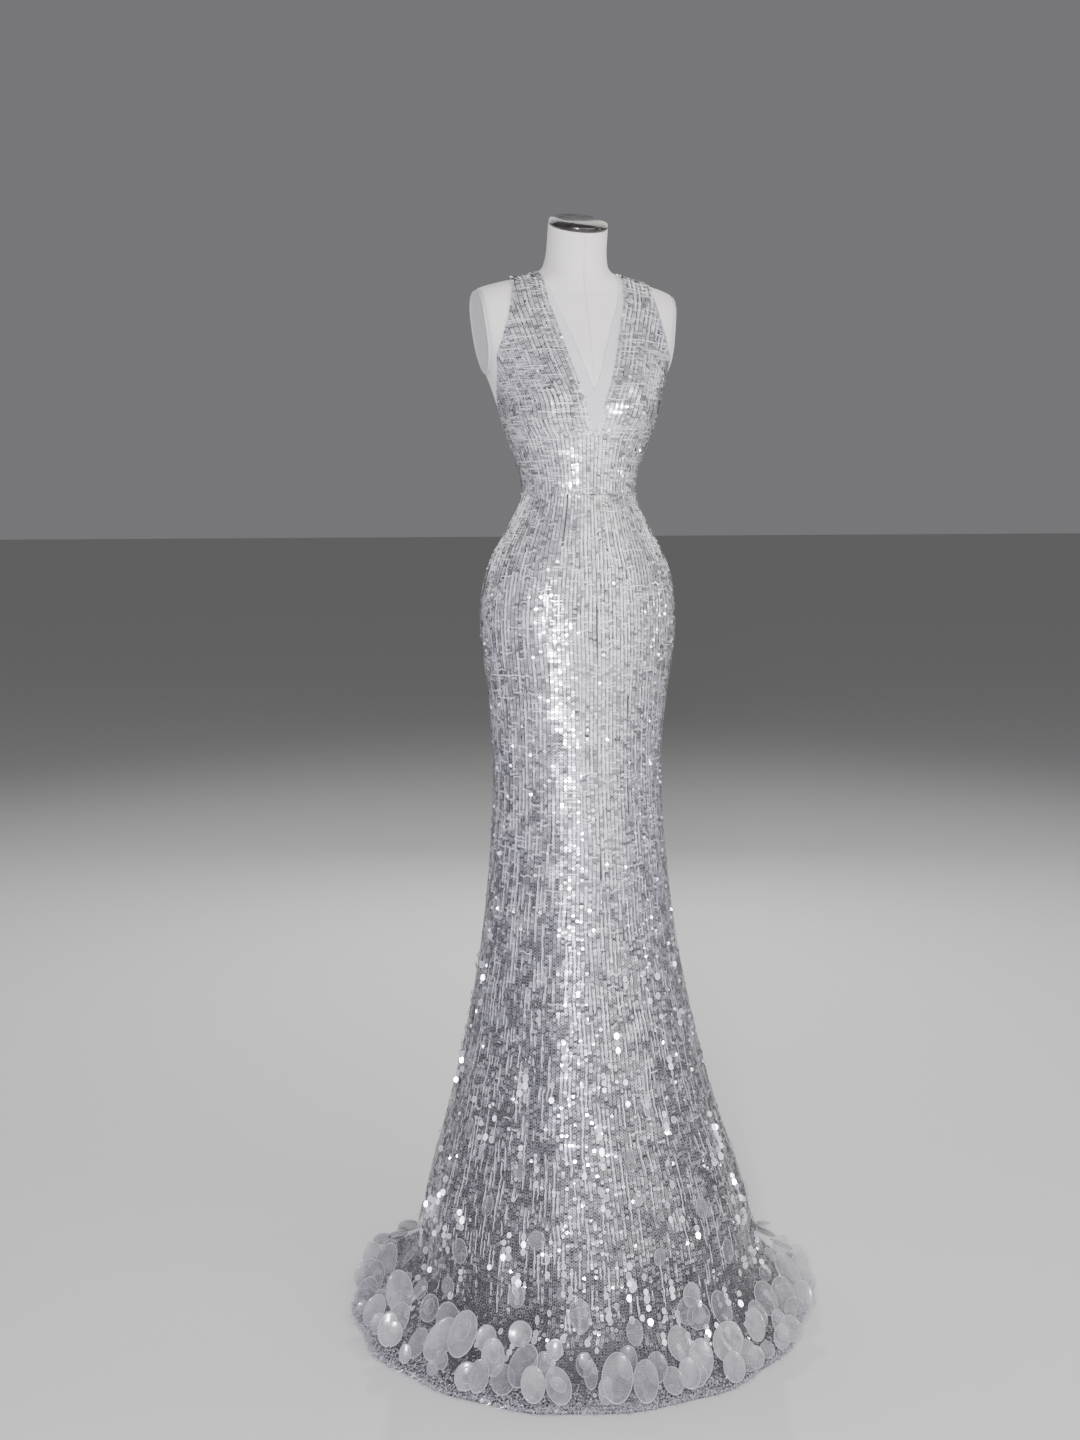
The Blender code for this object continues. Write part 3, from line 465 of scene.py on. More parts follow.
@dataclass(frozen=True)
class Trim:
    """One small shape that is repeated: corners along its right, up and out axes, its faces and its rim."""

    corners: Array
    faces: list[Array]
    rim: Array | None = None

    @staticmethod
    def dish(sides: int, hollow: float) -> "Trim":
        """A round sequin of radius 1: a fan of flat facets from a sunk middle."""
        turn = np.arange(sides) * TURN / sides + math.pi / sides
        rim = np.stack([np.sin(turn), np.cos(turn), np.full(sides, hollow)], axis=-1)
        faces = fan_faces(np.arange(sides)[::-1], sides)
        return Trim(np.concatenate([rim, [[0, 0, 0]]]), [faces], np.append(np.ones(sides), 0.0))

    @staticmethod
    def bead() -> "Trim":
        """A glass bead of radius 1 with eight facets."""
        corners = np.array([(1, 0, 0), (0, 1, 0), (-1, 0, 0), (0, -1, 0), (0, 0, 1), (0, 0, -1)], float)
        ring = np.arange(4)
        return Trim(corners, [np.concatenate([fan_faces(ring, 4), fan_faces(ring[::-1], 5)])])

    @staticmethod
    def thread() -> "Trim":
        """A three-sided thread one long, from its root at the origin up to a tip along its up axis."""
        turn = np.arange(3) * TURN / 3
        root = np.stack([np.sin(turn), np.zeros(3), np.cos(turn)], axis=-1)
        faces = np.concatenate([fan_faces(np.arange(3), 3), [[2, 1, 0]]])
        return Trim(np.concatenate([root, [[0, 1, 0]]]), [faces])

    @staticmethod
    def oval(rings: Array, steps: int, thick: float = 0.02, dished: float = 0.10) -> "Trim":
        """A closed shallow dish of radius 1, of two skins that meet at the rim.

        A point at share r of the radius is lifted by dished times r squared, and each skin lies the thickness
        above or below that.

        Args:
            rings: the shares of the radius that have a ring of points, the last one 1.
            steps: points in each ring.
            thick: how far each skin lies from the middle of the dish.
            dished: how far the rim is lifted.

        Returns:
            The dish, whose rim holds each point's share of the radius.
        """
        r, t = np.meshgrid(rings, np.arange(steps) * TURN / steps, indexing="ij")
        skin = np.where(rings < 1, thick, 0.0)[:, None]
        skins = [np.stack([r * np.sin(t), r * np.cos(t), dished * r**2 + s], axis=-1) for s in (skin, -skin)]
        middles = [[0, 0, thick], [0, 0, -thick]]
        corners = np.concatenate([skins[0].reshape(-1, 3), skins[1][:-1].reshape(-1, 3), middles])
        top = np.arange(r.size).reshape(r.shape)
        under = np.concatenate([top[:-1] + top.size, top[-1:]])
        quads = []
        for k in range(len(rings) - 1):
            quads += [band_faces(top[k], top[k + 1]), band_faces(under[k], under[k + 1])[:, [1, 0, 3, 2]]]
        fans = [fan_faces(top[0], len(corners) - 2)[:, [1, 0, 2]], fan_faces(under[0], len(corners) - 1)]
        rim = np.concatenate([np.repeat(rings, steps), np.repeat(rings[:-1], steps), [0, 0]])
        return Trim(corners, [np.concatenate(quads), np.concatenate(fans)], rim)


@dataclass
class Stations:
    """Where trim is sewn: places, the way up along the cloth and the way out of it."""

    places: Array
    ups: Array
    outs: Array

    @property
    def parts(self) -> tuple[Array, Array, Array]:
        """The three arrays."""
        return self.places, self.ups, self.outs

    @property
    def rights(self) -> Array:
        """The way to the right, seen from outside."""
        return np.cross(self.ups, self.outs)

    def kept(self, mask: Array) -> "Stations":
        """Only the stations that a mask keeps."""
        return Stations(*(part[mask] for part in self.parts))

    def shaped(self, rows: int, columns: int) -> "Stations":
        """The stations in rows and columns."""
        return Stations(*(part.reshape(rows, columns, 3) for part in self.parts))

    def crosswise(self) -> "Stations":
        """Stations in rows and columns with the columns as rows and the way right as the way up."""
        return Stations(*(part.transpose(1, 0, 2) for part in (self.places, self.rights, self.outs)))

    def joined(self, other: "Stations") -> "Stations":
        """These stations and more."""
        return Stations(*(np.concatenate(pair) for pair in zip(self.parts, other.parts)))

    def turned(self, outs: Array) -> "Stations":
        """The stations with another way out, and the way up square to it."""
        outs = unit(outs)
        return Stations(self.places, unit(self.ups - outs * dot(self.ups, outs)), outs)

    def leaned(self, lean: Array, sway: Array) -> "Stations":
        """Tilts each station: lean turns its face up, and sway turns it to its right, both as tangents."""
        return self.turned(self.outs + self.ups * lean[:, None] + self.rights * sway[:, None])

    def faced(self, share: Array) -> "Stations":
        """Turns each station's face a share of the way to the front, where it looks that way at all."""
        share = np.where(self.outs @ FREE_FACE > 0.25, share, 0)[:, None]
        return self.turned(self.outs * (1 - share) + FREE_FACE * share)

    def scattered(self, random: np.random.Generator, free: Array, lean: Array, sway: Array) -> "Stations":
        """Turns the free ones to the front with a small stray of their own, and leans and sways the others."""
        lean = np.where(free, FREE_STRAY * random.standard_normal(len(free)), lean)
        sway = np.where(free, FREE_STRAY * random.standard_normal(len(free)), sway)
        return self.faced(np.where(free, FREE_SHARE, 0)).leaned(lean, sway)

    def spun(self, turn: Array) -> "Stations":
        """Turns each station about its way out."""
        ups = self.ups * np.cos(turn)[:, None] + self.rights * np.sin(turn)[:, None]
        return Stations(self.places, ups, self.outs)

    def hung(self, share: float) -> "Stations":
        """Turns each station about its way out, so that its way up comes a share nearer to upright."""
        steep = unit(np.array([0, 0, 1.0]) - self.outs * self.outs[:, 2:])
        return Stations(self.places, unit(self.ups * (1 - share) + steep * share), self.outs)

    def raised(self, distance: float | Array) -> "Stations":
        """Moves each station out of the cloth."""
        return Stations(self.places + self.outs * np.asarray(distance)[..., None], self.ups, self.outs)

    @staticmethod
    def on_chart(chart: Chart, u: Array, v: Array) -> "Stations":
        """Stations on a chart, with the way up along its second parameter."""
        outs, rise = outward(chart, u, v), chart(u, v + STEP) - chart(u, v - STEP)
        return Stations(chart(u, v), unit(rise - outs * dot(rise, outs)), outs)


def spread(trim: Trim, stations: Stations, sizes: Sequence[Array], glint: Array) -> Shape:
    """Repeats a trim at all its stations at once.

    A corner is its station's place plus the right, up and out axes, each times the corner's own share of it
    and the size along it.

    Args:
        trim: the shape to repeat.
        stations: where each copy goes.
        sizes: the size of each copy along right, up and out.
        glint: one number for each copy, which its faces carry.

    Returns:
        All the copies as one shape.
    """
    axes = np.stack([stations.rights, stations.ups, stations.outs], axis=1) * np.stack(sizes, axis=-1)[:, :, None]
    points = stations.places[:, None, :] + trim.corners @ axes
    numbers = np.arange(len(points))[:, None, None] * len(trim.corners)
    faces = [(part[None] + numbers).reshape(-1, part.shape[1]) for part in trim.faces]
    glints = np.concatenate([np.repeat(glint, len(part)) for part in trim.faces])
    rim = None if trim.rim is None else np.tile(trim.rim, len(points))
    return Shape(points.reshape(-1, 3), faces, None, glints, rim)


def threads_down(
    grid: Stations, exists: Array, present: Array, half: float, rise: float, wander: Array, glint: Array
) -> Shape:
    """Flat strips down the columns of a grid, pale thread and painted highlight: a strip from each station to the
    next one down that exists.

    Args:
        grid: stations whose arrays have a row for each row and a column for each string.
        exists: which stations there are.
        present: which of them a thread passes, so that a strip is left out where either end has none.
        half: half the width of a thread.
        rise: how far it lies outside the stations.
        wander: how far it strays to its right at each station.
        glint: one number for each station.

    Returns:
        The strips as one shape, with a rim of 1 all over, which the sequins' finish paints in its pale highlight
        colour.
    """
    middle = grid.places + grid.outs * rise + grid.rights * wander[..., None]
    rights = grid.rights * half
    points = np.stack([middle - rights, middle + rights], axis=2).reshape(-1, 3)
    number = 2 * np.arange(present.size).reshape(present.shape)
    count = len(present)
    level = np.where(exists, np.arange(count)[:, None], count)
    after = np.minimum.accumulate(level[::-1])[::-1][1:]
    following = np.minimum(after, count - 1)
    both = present[:-1] & (after < count) & np.take_along_axis(present, following, axis=0)
    gap = np.linalg.norm(np.take_along_axis(middle, following[..., None], axis=0) - middle[:-1], axis=-1)
    both &= gap < LONGEST_STITCH
    low, high = number[:-1], np.take_along_axis(number, following, axis=0)
    faces = np.stack([low, low + 1, high + 1, high], axis=-1)[both]
    used, corners = np.unique(faces, return_inverse=True)
    return Shape(points[used], [corners.reshape(faces.shape)], None, glint[:-1][both], np.ones(len(used)))


# ---------------------------------------------------------------- finishes


class NodeTree:
    """A short way of adding nodes to a material or a group."""

    def __init__(self, tree: Tree) -> None:
        """Keeps the tree that nodes are added to."""
        self.tree = tree

    def add(self, kind: str, **settings: object) -> Node:
        """Adds a node and sets its properties."""
        node = self.tree.nodes.new(kind)
        for name, value in settings.items():
            setattr(node, name, value)
        return node

    def feed(self, socket: Socket, source: Socket | float | Colour) -> None:
        """Links a socket to another, or sets its value. A colour gets full alpha."""
        if isinstance(source, Socket):
            self.tree.links.new(source, socket)
        else:
            socket.default_value = (*source, 1.0) if isinstance(source, tuple) else source

    def fill(self, node: Node, **sources: Socket | float | Colour) -> Node:
        """Feeds a node's inputs by name, with _ for a space."""
        for name, source in sources.items():
            self.feed(node.inputs[name.replace("_", " ")], source)
        return node

    def chain(self, node: Node, *sources: Socket | float) -> Socket:
        """Feeds a node's first inputs in their order, and gives its first output."""
        for socket, source in zip(node.inputs, sources):
            self.feed(socket, source)
        return node.outputs[0]

    def math(self, operation: str, *values: Socket | float, clamp: bool = False) -> Socket:
        """A sum on numbers."""
        return self.chain(self.add("ShaderNodeMath", operation=operation, use_clamp=clamp), *values)

    def ramp(self, value: Socket, low: float | Socket, high: float | Socket, *ends: float) -> Socket:
        """Maps a range of a value to another range, smoothly, and holds it there. Without ends that is 0 to 1."""
        node = self.add("ShaderNodeMapRange", interpolation_type="SMOOTHSTEP")
        return self.chain(node, value, low, high, *(ends or (0.0, 1.0)))

    def mix(self, share: Socket | float, first: Socket | Colour, second: Socket | Colour) -> Socket:
        """A blend of two colours."""
        node = self.fill(self.add("ShaderNodeMix", data_type="RGBA"), Factor=share)
        self.feed(node.inputs[6], first)
        self.feed(node.inputs[7], second)
        return node.outputs[2]

    def attribute(self, name: str) -> Socket:
        """A number that the mesh carries."""
        return self.add("ShaderNodeAttribute", attribute_name=name).outputs["Fac"]

    def place(self, output: str = "Object") -> Socket:
        """The Object or UV coordinates of the piece."""
        return self.add("ShaderNodeTexCoord").outputs[output]

    def height(self) -> Socket:
        """The height above the floor."""
        split = self.add("ShaderNodeSeparateXYZ")
        self.feed(split.inputs[0], self.place())
        return split.outputs[2]

    def bump(self, shader: Node, height: Socket, strength: float, distance: float) -> None:
        """Raises the surface by a height, in metres at full strength."""
        node = self.fill(self.add("ShaderNodeBump"), Strength=strength, Distance=distance, Height=height)
        self.fill(shader, Normal=node.outputs[0])


class Effects:
    """Node groups that several finishes use. They put out only numbers."""

    def __init__(self) -> None:
        """Builds each group once."""
        self.grain_group = self.build_grain()
        self.net_group = self.build_net()

    @staticmethod
    def new_group(
        name: str, inputs: dict[str, float], outputs: Sequence[str]
    ) -> tuple[NodeTree, dict[str, Socket]]:
        """Starts a group whose first input is a vector.

        Args:
            name: the group's name.
            inputs: its number inputs and their defaults.
            outputs: its number outputs.

        Returns:
            The tree to build in and its inputs by name.
        """
        tree = bpy.data.node_groups.new(name, "ShaderNodeTree")
        tree.interface.new_socket("Vector", in_out="INPUT", socket_type="NodeSocketVector")
        for label, default in inputs.items():
            tree.interface.new_socket(label, in_out="INPUT", socket_type="NodeSocketFloat").default_value = default
        for label in outputs:
            tree.interface.new_socket(label, in_out="OUTPUT", socket_type="NodeSocketFloat")
        nodes = NodeTree(tree)
        return nodes, {socket.name: socket for socket in nodes.add("NodeGroupInput").outputs if socket.name}

    @classmethod
    def build_grain(cls) -> Tree:
        """Uneven patches over a fine grain, for cloth, wood and paint alike."""
        nodes, given = cls.new_group("grain", {"Coarse": 12.0, "Fine": 400.0, "Depth": 0.5}, ["Value", "Height"])
        coarse, fine = nodes.add("ShaderNodeTexNoise"), nodes.add("ShaderNodeTexNoise")
        for node, scale in ((coarse, "Coarse"), (fine, "Fine")):
            nodes.fill(node, Vector=given["Vector"], Scale=given[scale], Detail=4.0)
        patches = nodes.ramp(coarse.outputs[0], 0.3, 0.7)
        speckle = nodes.math("MULTIPLY", nodes.math("SUBTRACT", fine.outputs[0], 0.5), given["Depth"])
        leave = nodes.add("NodeGroupOutput")
        nodes.fill(leave, Value=nodes.math("ADD", patches, speckle, clamp=True), Height=fine.outputs[0])
        return nodes.tree

    @classmethod
    def build_net(cls) -> Tree:
        """Threads round the cells of a net: close to a cell's edge is 1 and its hole is 0."""
        nodes, given = cls.new_group("net", {"Cells": 400.0, "Thread": 0.12}, ["Thread", "Cell"])
        cells, whole = (nodes.add("ShaderNodeTexVoronoi", feature=kind) for kind in ("DISTANCE_TO_EDGE", "F1"))
        for node in (cells, whole):
            nodes.fill(node, Vector=given["Vector"], Scale=given["Cells"], Randomness=0.35)
        wide = nodes.math("MULTIPLY", given["Thread"], 2.0)
        thread = nodes.ramp(cells.outputs["Distance"], given["Thread"], wide, 1.0, 0.0)
        nodes.fill(nodes.add("NodeGroupOutput"), Thread=thread, Cell=whole.outputs["Distance"])
        return nodes.tree

    def grain(
        self, nodes: NodeTree, coarse: float, fine: float, depth: float, place: Socket | None = None
    ) -> Node:
        """The grain on a piece's own coordinates."""
        place = place or nodes.place()
        node = nodes.add("ShaderNodeGroup", node_tree=self.grain_group)
        return nodes.fill(node, Vector=place, Coarse=coarse, Fine=fine, Depth=depth)

    def net(self, nodes: NodeTree, cells: float, thread: float) -> Socket:
        """The net's threads on a piece's UV map in metres."""
        place = nodes.place("UV")
        node = nodes.add("ShaderNodeGroup", node_tree=self.net_group)
        return nodes.fill(node, Vector=place, Cells=cells, Thread=thread).outputs["Thread"]


@dataclass(frozen=True)
class Finish:
    """What every finish shares: a name, and a material whose Principled shader it paints."""

    name: str

    def build(self, effects: Effects) -> Material:
        """Makes the material."""
        made = bpy.data.materials.new(self.name)
        made.use_nodes = True
        self.paint(NodeTree(made.node_tree), made.node_tree.nodes["Principled BSDF"], effects)
        return made

    def paint(self, nodes: NodeTree, shader: Node, effects: Effects) -> None:
        """Feeds the shader. Each kind of finish has its own way."""
        raise NotImplementedError


@dataclass(frozen=True)
class SequinFinish(Finish):
    """Clear silvered sequins: a greyer middle and a painted highlight on the rim, with tint and gloss from each
    one's glint.
    """

    name: str = "sequins"
    deep: Colour = (0.035, 0.032, 0.038)
    cool: Colour = (0.47, 0.465, 0.63)
    warm: Colour = (0.66, 0.64, 0.65)
    # The colour of the painted highlight on each rim.
    edge: Colour = (0.96, 0.95, 1.0)
    rim_from: float = 0.70
    rim_to: float = 0.94
    dull: float = 0.34
    bright: float = 0.20
    metallic: float = 0.50
    rim_metallic: float = 0.25

    def paint(self, nodes: NodeTree, shader: Node, effects: Effects) -> None:
        """Mixes deep, cool and warm by the glint, a grain and the height, and paints a highlight on the rim."""
        glint, rim = nodes.attribute("glint"), nodes.attribute("rim")
        grain = effects.grain(nodes, 9.0, 900.0, 0.3).outputs["Value"]
        tint = nodes.math("MULTIPLY_ADD", grain, 0.4, nodes.ramp(nodes.height(), 0.65, 1.25, 0.0, 0.6))
        middle = nodes.mix(tint, self.cool, self.warm)
        middle = nodes.mix(nodes.ramp(glint, 0.0, 0.9), self.deep, middle)
        # Painted highlight: the rim pales towards the highlight colour, more where the glint is high, and turns
        # less metallic.
        edge = nodes.ramp(rim, self.rim_from, self.rim_to)
        highlight_share = nodes.math("MULTIPLY", edge, nodes.ramp(glint, 0.0, 0.8, 0.30, 0.90))
        nodes.fill(
            shader,
            Base_Color=nodes.mix(highlight_share, middle, self.edge),
            Roughness=nodes.ramp(glint, 0.0, 1.0, self.dull, self.bright),
            Metallic=nodes.ramp(edge, 0.0, 1.0, self.metallic, self.rim_metallic),
            Coat_Weight=1.0,
            Coat_Roughness=0.06,
            Coat_IOR=1.7,
        )


@dataclass(frozen=True)
class NetFinish(Finish):
    """Net on its own UV map in metres: threads over a darker hole, or over nothing where it is sheer. A solid
    net's dark holes are painted shade.
    """

    thread: Colour
    low_thread: Colour
    hem_thread: Colour
    hole: Colour
    cells: float
    width: float
    sheer: float
    roughness: float = 0.6

    def paint(self, nodes: NodeTree, shader: Node, effects: Effects) -> None:
        """Mixes thread and hole by the net's mask, with other threads on the flare and at the hem."""
        net = effects.net(nodes, self.cells, self.width)
        grain = effects.grain(nodes, 14.0, 700.0, 0.4).outputs["Value"]
        height = nodes.height()
        thread = nodes.mix(nodes.ramp(height, 0.005, 0.017), self.hem_thread, self.low_thread)
        thread = nodes.mix(nodes.ramp(height, 0.09, 0.26), thread, self.thread)
        thread = nodes.mix(nodes.ramp(grain, 0.0, 1.0, 0.5, 0.0), thread, self.hole)
        base = nodes.mix(net, self.hole, thread)
        nodes.fill(shader, Base_Color=base, Roughness=self.roughness, Sheen_Weight=0.2)
        if self.sheer < 1.0:
            nodes.fill(shader, Alpha=nodes.ramp(net, 0.0, 1.0, self.sheer, 0.85))
        nodes.bump(shader, net, 0.4, 0.0003)


@dataclass(frozen=True)
class PearlFinish(Finish):
    """Large pearly paillettes: cloudy and a little see-through, as each one's glint says, with a painted highlight
    on the rim.
    """

    name: str = "pearl"
    cloudy: Colour = (0.215, 0.21, 0.235)
    pale: Colour = (0.44, 0.428, 0.458)
    # The colour of the painted highlight on each rim.
    edge: Colour = (0.72, 0.73, 0.78)
    clear: tuple[float, float] = (0.20, 0.46)  # how solid each skin is, by the glint
    rough: tuple[float, float] = (0.24, 0.40)

    def paint(self, nodes: NodeTree, shader: Node, effects: Effects) -> None:
        """Clouds the plate by a grain, and paints a highlight on its rim: paler and less see-through there."""
        rim, tone = nodes.attribute("rim"), nodes.attribute("glint")
        grain = effects.grain(nodes, 46.0, 200.0, 0.35)
        cloud = nodes.math("MULTIPLY_ADD", grain.outputs["Value"], 0.5, nodes.math("MULTIPLY", tone, 0.5))
        base = nodes.mix(cloud, self.cloudy, self.pale)
        # Painted highlight: the rim pales to the highlight colour and turns more solid.
        base = nodes.mix(nodes.ramp(rim, 0.92, 1.0), base, self.edge)
        plate = nodes.ramp(tone, 0.0, 1.0, *self.clear)
        solid = nodes.math("MAXIMUM", plate, nodes.ramp(rim, 0.90, 1.0, 0.0, 0.9))
        rough = nodes.ramp(grain.outputs["Value"], 0.0, 1.0, *self.rough)
        nodes.fill(shader, Base_Color=base, Alpha=solid, Roughness=rough, Coat_Weight=0.8, Coat_Roughness=0.10)
        nodes.bump(shader, grain.outputs["Height"], 0.5, 0.0006)


@dataclass(frozen=True)
class LinenFinish(Finish):
    """Fine linen stretched over the form: a plain weave with cloudy patches and a soft sheen."""

    name: str = "linen"
    pale: Colour = (0.82, 0.775, 0.75)
    dark: Colour = (0.74, 0.70, 0.675)
    threads: float = 900.0  # radians of weave in a metre

    def paint(self, nodes: NodeTree, shader: Node, effects: Effects) -> None:
        """Crosses two wave patterns for the weave, and lets the grain choose between dark and pale."""
        place = nodes.place()
        grain = effects.grain(nodes, 7.0, 500.0, 0.5, place).outputs["Value"]
        waves = []
        for direction in ("X", "Z"):
            wave = nodes.add("ShaderNodeTexWave", bands_direction=direction)
            waves.append(nodes.fill(wave, Vector=place, Scale=self.threads / TURN, Distortion=0.6).outputs["Fac"])
        weave = nodes.math("MULTIPLY", *waves)
        nodes.fill(shader, Base_Color=nodes.mix(grain, self.dark, self.pale), Roughness=0.85, Sheen_Weight=0.15)
        nodes.bump(shader, weave, 0.25, 0.0002)


@dataclass(frozen=True)
class SolidFinish(Finish):
    """Lacquered wood, painted steel, thread and glass beads: one colour, a grain in it and a coat over it."""

    colour: Colour
    worn: Colour
    roughness: float
    metallic: float = 0.0
    coat: float = 0.0
    coarse: float = 20.0

    def paint(self, nodes: NodeTree, shader: Node, effects: Effects) -> None:
        """Lets the grain tint the colour and roughen the surface a little."""
        grain = effects.grain(nodes, self.coarse, 600.0, 0.4)
        nodes.fill(
            shader,
            Base_Color=nodes.mix(grain.outputs["Value"], self.colour, self.worn),
            Roughness=nodes.ramp(grain.outputs["Value"], 0.0, 1.0, self.roughness, self.roughness * 1.35),
            Metallic=self.metallic,
            Coat_Weight=self.coat,
            Coat_Roughness=0.08,
        )
        nodes.bump(shader, grain.outputs["Height"], 0.1, 0.0002)


CLEAR_THREAD = (0.86, 0.87, 0.90)
FINISHES: tuple[Finish, ...] = (
    SequinFinish(),
    SequinFinish("round_sequins", cool=(0.60, 0.60, 0.70), warm=(0.76, 0.75, 0.79), metallic=0.55, rim_from=0.8),
    NetFinish(
        "ground_net",
        thread=(0.115, 0.11, 0.122),
        low_thread=(0.105, 0.10, 0.115),
        hem_thread=(0.30, 0.29, 0.32),
        # Painted shade: the near-black holes stand for the dark inside of the skirt seen through the net.
        hole=(0.016, 0.015, 0.018),
        cells=205.0,
        width=0.09,
        sheer=1.0,
    ),
    NetFinish("sheer_net", CLEAR_THREAD, CLEAR_THREAD, CLEAR_THREAD, (0.78, 0.78, 0.80), 700.0, 0.12, 0.35),
    PearlFinish(),
    LinenFinish(),
    # The arm plates' linen: greyer than the torso's, and darker partly as painted shade of plates that face aside.
    LinenFinish("plate_linen", pale=(0.53, 0.525, 0.54), dark=(0.46, 0.455, 0.47)),
    SolidFinish("seam_thread", (0.72, 0.60, 0.57), (0.78, 0.68, 0.65), 0.8),
    SolidFinish("black_lacquer", (0.012, 0.010, 0.010), (0.03, 0.024, 0.022), 0.22, coat=0.8, coarse=40.0),
    SolidFinish("black_steel", (0.018, 0.018, 0.019), (0.05, 0.05, 0.052), 0.42, metallic=0.6, coat=0.2),
    SolidFinish("glass_beads", (0.20, 0.195, 0.22), (0.58, 0.57, 0.62), 0.22, 0.2, coat=0.6, coarse=220.0),
)


def build_finishes() -> Finishes:
    """Builds every finish once, by its name."""
    effects = Effects()
    return {finish.name: finish.build(effects) for finish in FINISHES}


# ---------------------------------------------------------------- the dress form and its stand


@dataclass
class DressForm:
    """The linen torso with its neck, the neck cap, the arm plates and the seam down its front."""

    figure: Figure
    finishes: Finishes
    arm_x: float = 0.1665
    arm_z: float = 1.700
    arm_lean: float = math.radians(6.6)
    arm_centre: tuple[float, float] = (0.036, 1.664)
    arm_reach: float = 0.12
    arm_softness: float = 0.0022
    neck_top: float = 1.8225
    neck_slant: float = math.radians(22.0)
    neck_centre_y: float = 0.008
    neck_rows: int = 16
    columns: int = 168
    rim_points: int = 96
    # Bands of rings up the torso: from, to and how many.
    bands: tuple[tuple[float, float, int], ...] = ((1.020, 1.600, 110), (1.600, 1.690, 30), (1.690, 1.765, 62))
    # Layers of the cap and of the arm plates: how far each lies over the cut and its share of the cut's outline.
    cap_profile: Array = table(
        (0.0003, 0.985), (0.0062, 0.990), (0.0080, 0.982), (0.0096, 0.955), (0.0112, 0.890), (0.0126, 0.780),
        (0.0136, 0.620), (0.0142, 0.420), (0.0144, 0.200),
    )
    plate_profile: Array = table(
        (0.0003, 0.965), (0.0030, 0.965), (0.0042, 0.957), (0.0048, 0.940), (0.0044, 0.920), (0.0036, 0.905),
        (0.0034, 0.600), (0.0034, 0.250),
    )
    seam_half: float = 0.0011
    seam_root: float = 0.0003  # how far the stitching reaches into the linen
    seam_foot: float = 0.0001  # how proud its edges are
    seam_ridge: float = 0.00035  # how much more its middle is
    seam_end: float = 0.024  # from its end to the top of the neck

    def build(self) -> None:
        """Builds every piece of the form."""
        rings = self.torso_rings()
        make_piece("torso_linen", lofted(rings), self.finishes["linen"], ["form_torso"])
        up = np.array([0, -math.sin(self.neck_slant), math.cos(self.neck_slant)])
        cap = self.layered(rings[-1], up, self.cap_profile)
        make_piece("neck_cap", cap, self.finishes["black_lacquer"], ["form_neck_cap"])
        plate = self.layered(*self.arm_cut(), self.plate_profile)
        for side in Side:
            name = f"arm_plate_{side.word}"
            make_piece(name, plate.on(side), self.finishes["plate_linen"], [f"form_{name}"])
        self.build_seam()

    def torso_rings(self) -> list[Array]:
        """Rings of the torso, lowest first. The last ones slant with the cut of the neck."""
        bands = [np.linspace(low, high, rows + 1)[1:] for low, high, rows in self.bands]
        heights = np.concatenate([[self.bands[0][0]], *bands])
        angles = np.arange(self.columns) * TURN / self.columns
        rings = [self.flatten_arms(ring) for ring in self.figure.surface(angles[None, :], heights[:, None])]
        top = np.full(angles.shape, self.neck_top)
        for _ in range(6):
            y = self.figure.surface(angles, top)[:, 1]
            top = self.neck_top + math.tan(self.neck_slant) * (y - self.neck_centre_y)
        share = np.linspace(0, 1, self.neck_rows + 1)[1:, None]
        neck = heights[-1] * (1 - share) + top[None, :] * share
        return rings + list(self.figure.surface(angles[None, :], neck))

    def flatten_arms(self, points: Array) -> Array:
        """Presses what lies beyond the two arm planes back onto them, with a softly rounded edge.

        A distance d beyond a plane becomes half of d less the root of d squared plus the softness squared, so
        it fades to nothing outside the plane and stays as it is inside.
        """
        points = points.copy()
        high = points[:, 2] > self.figure.waist
        for side in Side:
            sign = side.value
            beyond = math.cos(self.arm_lean) * (sign * points[:, 0] - self.arm_x)
            beyond = beyond - math.sin(self.arm_lean) * (points[:, 2] - self.arm_z)
            pressed = (beyond - np.sqrt(beyond**2 + self.arm_softness**2)) / 2
            moved = points[:, 0] - sign * (beyond - pressed) / math.cos(self.arm_lean)
            points[:, 0] = np.where(high & (sign * points[:, 0] > 0), moved, points[:, 0])
        return points

    @staticmethod
    def layered(ring: Array, normal: Array, profile: Array) -> Shape:
        """A plate on a flat cut: each layer is the cut's ring drawn in to a share and moved along its normal."""
        middle = ring.mean(axis=0)
        return lofted([middle + (ring - middle) * share + normal * rise for rise, share in profile])

    def arm_cut(self) -> tuple[Array, Array]:
        """The outline of the left arm's flat cut, found by halving along rays from its middle, and its normal."""
        lean = self.arm_lean
        upward = np.array([math.sin(lean), 0, math.cos(lean)])
        y, z = self.arm_centre
        middle = np.array([self.arm_x + math.tan(lean) * (z - self.arm_z), y, z])
        turn = np.arange(self.rim_points) * TURN / self.rim_points
        rays = np.cos(turn)[:, None] * np.array([0, 1, 0]) + np.sin(turn)[:, None] * upward
        near, far = np.zeros(len(turn)), np.full(len(turn), self.arm_reach)
        for _ in range(self.figure.halvings):
            half = (near + far) / 2
            outside = self.figure.inside(*(middle + rays * half[:, None]).T) > 1
            near, far = np.where(outside, near, half), np.where(outside, half, far)
        return middle + rays * near[:, None], np.array([math.cos(lean), 0, -math.sin(lean)])

